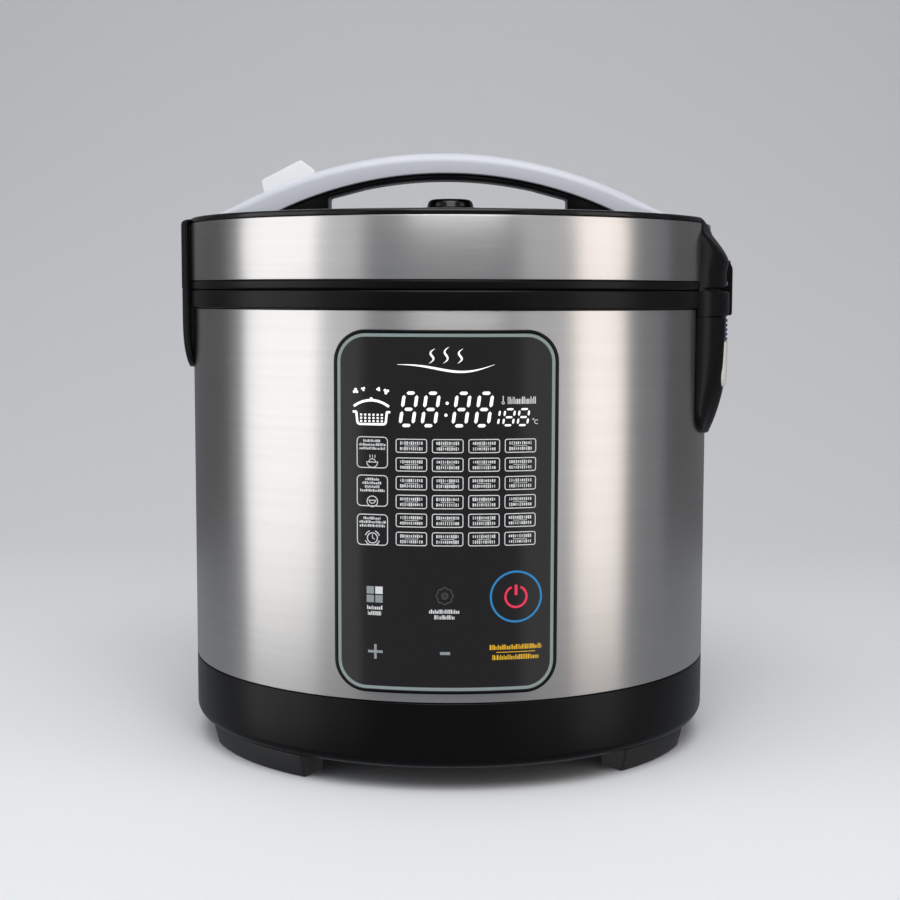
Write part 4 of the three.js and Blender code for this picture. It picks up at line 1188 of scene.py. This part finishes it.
pot = [stroke(arc(-34.6, 173.5, 13.2, 51.3, 128.7, 20), 1.15), dot(-34.6, 187.3, 0.8)]
pot.append(stroke([tuple(p) for p in rounded(
    [(-43.4, 181.3), (-41.7, 181.3), (-41.1, 175.6), (-27.9, 175.6), (-27.3, 181.3), (-25.7, 181.3)],
    [0, 0.3, 1.3, 1.3, 0.3, 0], 4)], 1.05))
for i in range(6):
    for j in range(3):
        pot.append(bar(-39.9 + i * 1.95, 180.0 - j * 1.5, -38.9 + i * 1.95, 180.0 - j * 1.5, 0.9))
for x, z, size in ((-42.0, 190.9, 1.2), (-38.4, 191.9, 0.9), (-31.2, 191.9, 0.9), (-27.6, 190.9, 1.2)):
    for k in range(3):
        a = math.radians(90 + 120 * k + 20 * x)
        pot.append(dot(x + 0.62 * size * math.cos(a), z + 0.62 * size * math.sin(a), 0.55 * size))
printed("pot_mark", pot, white_ink)

# ---- Programme keys --------------------------------------------------------------------
# Twenty-four programme keys in four columns and six rows, printed in pale ink: a rounded
# frame, two rows of ticks for their lettering, and a fine rule between them.
key_tree = bpy.data.node_groups.new("programme_keys", "GeometryNodeTree")
key_tree.interface.new_socket("Geometry", in_out="OUTPUT", socket_type="NodeSocketGeometry")
key_sizes = {
    "Columns": ("NodeSocketInt", 4), "Rows": ("NodeSocketInt", 6), "Ticks": ("NodeSocketInt", 11),
    "Column pitch": ("NodeSocketFloat", 16.83 * MM), "Row pitch": ("NodeSocketFloat", 8.68 * MM),
    "Key width": ("NodeSocketFloat", 14.2 * MM), "Key height": ("NodeSocketFloat", 6.1 * MM),
    "Key corner": ("NodeSocketFloat", 0.9 * MM), "Line": ("NodeSocketFloat", 0.42 * MM),
    "Ink": ("NodeSocketFloat", ink_high - ink_low), "Tick pitch": ("NodeSocketFloat", 0.98 * MM),
    "Tick height": ("NodeSocketFloat", 1.7 * MM), "Bend": ("NodeSocketFloat", (ink_high + ink_low) / 2)}
key_sockets = {}
for name, (kind, value) in key_sizes.items():
    key_sockets[name] = key_tree.interface.new_socket(name, in_out="INPUT", socket_type=kind).identifier
given = add(key_tree, "NodeGroupInput").outputs


def sum_of(tree, operation, first, second):
    """One arithmetic node; first and second are each a socket or a number."""
    node = add(tree, "ShaderNodeMath", operation=operation)
    for i, value in enumerate((first, second)):
        if isinstance(value, (int, float)):
            node.inputs[i].default_value = value
        else:
            tree.links.new(value, node.inputs[i])
    return node.outputs[0]


def vector_of(tree, **parts):
    """A vector built from named sockets."""
    return add(tree, "ShaderNodeCombineXYZ", links=parts).outputs[0]


def minus_one(socket):
    return sum_of(key_tree, "SUBTRACT", socket, 1)


grid = add(key_tree, "GeometryNodeMeshGrid", links={
    "Vertices X": given["Columns"], "Vertices Y": given["Rows"],
    "Size X": sum_of(key_tree, "MULTIPLY", minus_one(given["Columns"]), given["Column pitch"]),
    "Size Y": sum_of(key_tree, "MULTIPLY", minus_one(given["Rows"]), given["Row pitch"])})
outline_curve = add(key_tree, "GeometryNodeCurvePrimitiveQuadrilateral", links={
    "Width": given["Key width"], "Height": given["Key height"]})
filleted = add(key_tree, "GeometryNodeFilletCurve", links={"Curve": outline_curve.outputs[0]}, mode="POLY")
filleted.inputs["Count"].default_value = 4
filleted.inputs["Limit Radius"].default_value = True
key_tree.links.new(given["Key corner"], filleted.inputs["Radius"])
finer = add(key_tree, "GeometryNodeSubdivideCurve", {"Cuts": 5}, {"Curve": filleted.outputs[0]})
inked = add(key_tree, "GeometryNodeCurvePrimitiveQuadrilateral", links={
    "Width": given["Line"], "Height": given["Ink"]})
key_frame = add(key_tree, "GeometryNodeCurveToMesh", links={
    "Curve": finer.outputs[0], "Profile Curve": inked.outputs[0]})
rule = add(key_tree, "GeometryNodeMeshCube", {"Vertices X": 5}, {"Size": vector_of(
    key_tree, X=sum_of(key_tree, "MULTIPLY", given["Key width"], 0.45),
    Y=sum_of(key_tree, "MULTIPLY", given["Line"], 0.5), Z=given["Ink"])})
tick_row = add(key_tree, "GeometryNodeMeshGrid", {"Vertices Y": 2}, {
    "Vertices X": given["Ticks"],
    "Size X": sum_of(key_tree, "MULTIPLY", minus_one(given["Ticks"]), given["Tick pitch"]),
    "Size Y": sum_of(key_tree, "MULTIPLY", given["Key height"], 0.42)})
blanks = add(key_tree, "GeometryNodeJoinGeometry", links={0: key_frame.outputs[0]})
key_tree.links.new(rule.outputs[0], blanks.inputs[0])
keys_placed = add(key_tree, "GeometryNodeInstanceOnPoints", links={
    "Points": grid.outputs[0], "Instance": blanks.outputs[0]})
rows_placed = add(key_tree, "GeometryNodeInstanceOnPoints", links={
    "Points": grid.outputs[0], "Instance": tick_row.outputs[0]})
loose = add(key_tree, "GeometryNodeRealizeInstances", links={0: rows_placed.outputs[0]})
tick_width = sum_of(key_tree, "MULTIPLY", given["Tick pitch"], 0.62)
tick = add(key_tree, "GeometryNodeMeshCube", links={
    "Size": vector_of(key_tree, X=tick_width, Y=given["Tick height"], Z=given["Ink"])})
least = add(key_tree, "FunctionNodeRandomValue", {"Seed": 11}, data_type="FLOAT_VECTOR")
least.inputs[0].default_value = (0.55, 0.65, 1)
least.inputs[1].default_value = (1.25, 1.0, 1)
ticks_placed = add(key_tree, "GeometryNodeInstanceOnPoints", links={
    "Points": loose.outputs[0], "Instance": tick.outputs[0], "Scale": least.outputs[0]})
both = add(key_tree, "GeometryNodeJoinGeometry", links={0: keys_placed.outputs[0]})
key_tree.links.new(ticks_placed.outputs[0], both.inputs[0])
real = add(key_tree, "GeometryNodeRealizeInstances", links={0: both.outputs[0]})
position = add(key_tree, "GeometryNodeInputPosition")
where = add(key_tree, "ShaderNodeSeparateXYZ", links={0: position.outputs[0]})
off_centre = key_tree.interface.new_socket(
    "Off centre", in_out="INPUT", socket_type="NodeSocketFloat").identifier
key_sockets["Off centre"] = off_centre
key_sizes["Off centre"] = ("NodeSocketFloat", 9.33 * MM)
moved = sum_of(key_tree, "ADD", where.outputs["X"], add(key_tree, "NodeGroupInput").outputs["Off centre"])
reach = sum_of(key_tree, "ADD", given["Bend"], where.outputs["Z"])
depth = sum_of(key_tree, "SQRT", sum_of(key_tree, "SUBTRACT", sum_of(key_tree, "MULTIPLY", reach, reach),
                                       sum_of(key_tree, "MULTIPLY", moved, moved)), 0)
bent = add(key_tree, "GeometryNodeSetPosition", links={
    "Geometry": real.outputs[0],
    "Position": vector_of(
        key_tree, X=moved, Y=sum_of(key_tree, "MULTIPLY", depth, -1), Z=where.outputs["Y"])})
painted = add(key_tree, "GeometryNodeSetMaterial", {"Material": pale_ink}, {"Geometry": bent.outputs[0]})
add(key_tree, "NodeGroupOutput", links={0: painted.outputs[0]})
keys = grown("programme_keys", key_tree, key_sockets, {k: v for k, (_, v) in key_sizes.items()})
keys.data.transform(Matrix.Translation(axis + Vector((0, 0, 144.15 * MM))))
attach(keys, "cooker")
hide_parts("panel_lens")

# ---- Setting keys ----------------------------------------------------------------------
# Three square keys on the left, each with its pictogram: a steaming bowl, a round pot and an
# alarm clock. Below the programmes stand the menu, setting, plus, minus and power keys.
setting = []
key_side = 14.3
for x, z, lines in ((-34.2, 162.5, 3), (-34.2, 144.6, 4), (-34.2, 126.3, 3)):
    setting.append(stroke(tile(x, z, key_side, key_side, 1.8), 0.42, True))
    for i in range(lines):
        width = (8.5, 12.3, 12.0)[i % 3] if lines == 3 else (6.5, 9.5, 7.0, 11.5)[i]
        setting += ticks(x, z + 5.4 - i * 1.75, width, 1.2, 40 + i + int(z))
bowl_x, bowl_z = -34.2, 156.9
setting.append(stroke(arc(bowl_x, bowl_z + 1.2, 2.6, 190, 350, 14), 0.4))
setting.append(bar(bowl_x - 2.8, bowl_z + 1.1, bowl_x + 2.8, bowl_z + 1.1, 0.4))
setting.append(stroke(arc(bowl_x, bowl_z + 1.0, 1.6, 0, 180, 10), 0.35))
setting.append(bar(bowl_x - 1.2, bowl_z - 1.5, bowl_x + 1.2, bowl_z - 1.5, 0.4))
for x in (-1.2, 0, 1.2):
    setting.append(stroke([(bowl_x + x, bowl_z + 3.0), (bowl_x + x + 0.2, bowl_z + 3.5),
                           (bowl_x + x, bowl_z + 4.0), (bowl_x + x + 0.2, bowl_z + 4.5)], 0.3))
setting.append(stroke(arc(-34.2, 139.6, 2.5, 0, 360, 24), 0.4, True))
setting.append(bar(-36.1, 140.1, -32.3, 140.1, 0.4))
setting.append(stroke(arc(-34.2, 140.2, 1.5, 195, 345, 10), 0.35))
setting.append(stroke(arc(-34.2, 122.4, 2.4, 0, 360, 24), 0.45, True))
setting += [bar(-34.2, 122.4, -34.2, 124.0, 0.35), bar(-34.2, 122.4, -33.1, 121.9, 0.35)]
setting += [stroke(arc(-34.2, 122.4, 3.5, a, a + 50, 6), 0.45) for a in (20, 110, 200, 290)]
printed("setting_keys", setting, pale_ink)

menu_at = (-33.2, 95.8)
squares = [(-1, -1), (1, -1), (-1, 1)]
printed("menu_squares", [
    bar(menu_at[0] + i * 2.05 - 1.75, menu_at[1] + j * 2.05,
        menu_at[0] + i * 2.05 + 1.75, menu_at[1] + j * 2.05, 3.5) for i, j in squares], grey_ink)
labels = [bar(menu_at[0] + 0.3, menu_at[1] + 2.05, menu_at[0] + 3.8, menu_at[1] + 2.05, 3.5)]
labels += ticks(-33.2, 89.6, 7.2, 1.9, 71) + ticks(-33.2, 86.9, 6.4, 1.9, 72)
labels += ticks(-0.4, 88.5, 14.4, 1.9, 73) + ticks(-0.4, 85.8, 9.6, 1.9, 74)
printed("key_labels", labels, pale_ink)

gear = []
for i in range(96):
    a = 2 * math.pi * i / 96
    r = 3.75 + 0.3 * math.cos(8 * a)
    gear.append((-0.35 + r * math.cos(a), 95.8 + r * math.sin(a)))
printed("setting_gear", [stroke(gear, 0.4, True), stroke(arc(-0.35, 95.8, 1.45), 0.35, True),
                         stroke(arc(-0.35, 95.8, 0.75, 0, 360, 20), 0.35, True)], dim_ink)
printed("plus_and_minus", [bar(-36.4, 68.7, -29.4, 68.7, 1.2), bar(-32.9, 65.2, -32.9, 68.1, 1.2),
                           bar(-32.9, 69.3, -32.9, 72.2, 1.2), bar(-2.5, 68.7, 2.2, 68.7, 1.4)], grey_ink)
power = (32.9, 95.1)
printed("power_ring", [stroke(arc(*power, 11.8, 0, 360, 72), 0.95, True)], blue_ink)
printed("power_mark", [stroke(arc(*power, 4.95, 115, 425, 40), 1.05),
                       bar(power[0], power[1] + 0.7, power[0], power[1] + 5.6, 1.35)], red_ink)
printed("warm_labels", ticks(32.9, 71.3, 24.5, 2.3, 81) + ticks(32.9, 66.5, 22.0, 2.3, 82)
        + [bar(23.8, 68.9, 42.0, 68.9, 0.35)], yellow_ink)

# ---- Mains inlet -----------------------------------------------------------------------
# A black inlet socket at the back, for a lead that unplugs. Its three brass-plated pins stand
# in a recess that opens outwards.
brass, _, _, _ = new_material("plated_brass_pins", "#b8a06a", 0.3, metallic=1.0)
pins = []
recess = Vector((12.0, 0, 8.4)) * MM
inlet_middle = (inlet_low.z + inlet_high.z) / 2
inlet = block("inlet_body", tuple(inlet_low), tuple(inlet_high), black_abs)
inlet_edge = 137.3 * MM
hull = turned("inlet_trim", [(100 * MM, 0.005), (inlet_edge, 0.005), (inlet_edge, 0.06), (100 * MM, 0.06)],
              black_abs, 360)
keep = inlet.modifiers.new("trim", "BOOLEAN")
keep.operation = "INTERSECT"
keep.solver = "EXACT"
keep.object = hull
settle(inlet)
bpy.data.objects.remove(hull)
opening = block("opening", (axis.x - recess.x, axis.y + 120 * MM, inlet_middle - recess.z),
                (axis.x + recess.x, axis.y + 145 * MM, inlet_middle + recess.z), black_abs)
soften(opening, 2.2 * MM, 4)
cut(inlet, opening)
fit(inlet, "cooker", "black_matt", "power_inlet", sharp=40)
for x, z in ((-7, -2), (7, -2), (0, 3)):
    prong = block("prong", (axis.x + (x - 1) * MM, axis.y + 119 * MM, inlet_middle + (z - 2.2) * MM),
                  (axis.x + (x + 1) * MM, axis.y + 134 * MM, inlet_middle + (z + 2.2) * MM), brass)
    soften(prong, 0.5 * MM, 3)
    pins.append(prong)
for i, prong in enumerate(pins):
    prong.name = "inlet_pin_%d" % (i + 1)
    fit(prong, "cooker", "steel", "power_inlet")

# ---- Cooking pot -----------------------------------------------------------------------
# The pot is drawn aluminium with a grey-black non-stick coat inside and out. Its rolled flange
# hangs on the body ring, and its bottom lies flat on the heating plate.
coat = grained("sprayed_nonstick_coat", "#2b2b2d", 0.4, 0.35, 0.006)
pot_low, pot_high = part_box("inner_pot")
flange = (pot_high.y - pot_low.y) / 2
pot_radius, pot_wall, corner = 119.5 * MM, 1.8 * MM, 12 * MM
pot_outline = rounded(
    [(0, pot_low.z), (pot_radius, pot_low.z), (pot_radius, pot_high.z - 2 * MM),
     (flange, pot_high.z - 2 * MM), (flange, pot_high.z), (pot_radius - pot_wall, pot_high.z),
     (pot_radius - pot_wall, pot_low.z + pot_wall), (0, pot_low.z + pot_wall)],
    [0, corner, 1.5 * MM, 0.9 * MM, 0.9 * MM, 2.5 * MM, corner - pot_wall, 0], 8)
cooking_pot = turned("cooking_pot", pot_outline, coat, 180)
fit(cooking_pot, "cooker", "nonstick", "inner_pot")

# ---- Inner lid -------------------------------------------------------------------------
# A pressed aluminium plate closes the pot from inside the lid, with a cream silicone gasket
# around it and steam holes in its middle.
pressed_aluminium, alu_tree, alu_shader, alu_where = new_material(
    "pressed_aluminium", "#c4c6c8", 0.36, metallic=1.0)
turning = add(alu_tree, "ShaderNodeTexNoise", {"Scale": 900, "Detail": 3}, {"Vector": alu_where})
tones = add(alu_tree, "ShaderNodeMapRange", {"To Min": 0.3, "To Max": 0.44}, {"Value": turning.outputs[0]})
alu_tree.links.new(tones.outputs[0], alu_shader.inputs["Roughness"])
silicone = grained("moulded_silicone", "#cfc9bd", 0.55, 0.8, 0.004, ior=1.43)
plate_low, plate_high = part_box("inner_lid")
plate_radius = (plate_high.y - plate_low.y) / 2
inner_lid = turned("inner_lid_plate", rounded(
    [(13 * MM, plate_low.z + 1.2 * MM), (52 * MM, plate_low.z + 1.2 * MM), (58 * MM, plate_low.z),
     (plate_radius, plate_low.z), (plate_radius, plate_high.z), (58 * MM, plate_high.z - 0.8 * MM),
     (13 * MM, plate_high.z)],
    [0.2 * MM, 3 * MM, 3 * MM, 0.5 * MM, 0.5 * MM, 3 * MM, 0.2 * MM], 4), pressed_aluminium, 144)
fit(inner_lid, "lid", "aluminium", "inner_lid")
gasket_low, gasket_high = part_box("lid_gasket")
gasket_out = (gasket_high.y - gasket_low.y) / 2
gasket = turned("gasket_ring", rounded(
    [(112.6 * MM, gasket_low.z + 0.4 * MM), (118 * MM, gasket_low.z + 0.5 * MM), (gasket_out, gasket_low.z),
     (gasket_out, gasket_high.z), (112.6 * MM, gasket_high.z)], 0.35 * MM, 4), silicone, 144)
fit(gasket, "lid", "silicone", "lid_gasket")

# ---- Parts from the CAD ----------------------------------------------------------------
# Screws, springs, boards and other inner parts keep their CAD shape. Each gets a finish made
# for its metal, rubber or board.
drawn_steel, _, _, _ = new_material("zinc_plated_steel", "#b9bcc0", 0.3, metallic=1.0)
cast_aluminium, _, _, _ = new_material("cast_aluminium", "#a9abad", 0.45, metallic=1.0)
for metal, size, low_rough, high_rough in ((drawn_steel, 1600, 0.22, 0.4), (cast_aluminium, 700, 0.36, 0.55),
                                           (brass, 1600, 0.24, 0.38)):
    tree = metal.node_tree
    shader = next(n for n in tree.nodes if n.type == "BSDF_PRINCIPLED")
    where = add(tree, "ShaderNodeTexCoord")
    cloud = add(tree, "ShaderNodeTexNoise", {"Scale": size, "Detail": 3}, {"Vector": where.outputs["Object"]})
    spread = add(tree, "ShaderNodeMapRange", {"To Min": low_rough, "To Max": high_rough},
                 {"Value": cloud.outputs[0]})
    tree.links.new(spread.outputs[0], shader.inputs["Roughness"])
board_green = grained("solder_masked_board", "#1d4a33", 0.35, 1.2, 0.003)
finish = {
    "steel": drawn_steel, "spring_steel": drawn_steel, "zinc": drawn_steel, "aluminium": cast_aluminium,
    "silicone": silicone, "rubber": foot_rubber, "board": board_green, "black_gloss": black_abs,
    "black_matt": black_abs, "grey_plastic": grey_abs, "white_plastic": white_abs, "nonstick": coat,
    "panel_glass": film, "clear_plastic": clear_abs, "slate_plastic": slate_abs}
longest_first = sorted(finish, key=len, reverse=True)
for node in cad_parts.values():
    for slot_held in node.material_slots:
        key = slot_held.material.name.split(".")[0]
        slot_held.material = finish[next(k for k in longest_first if key.startswith(k))]
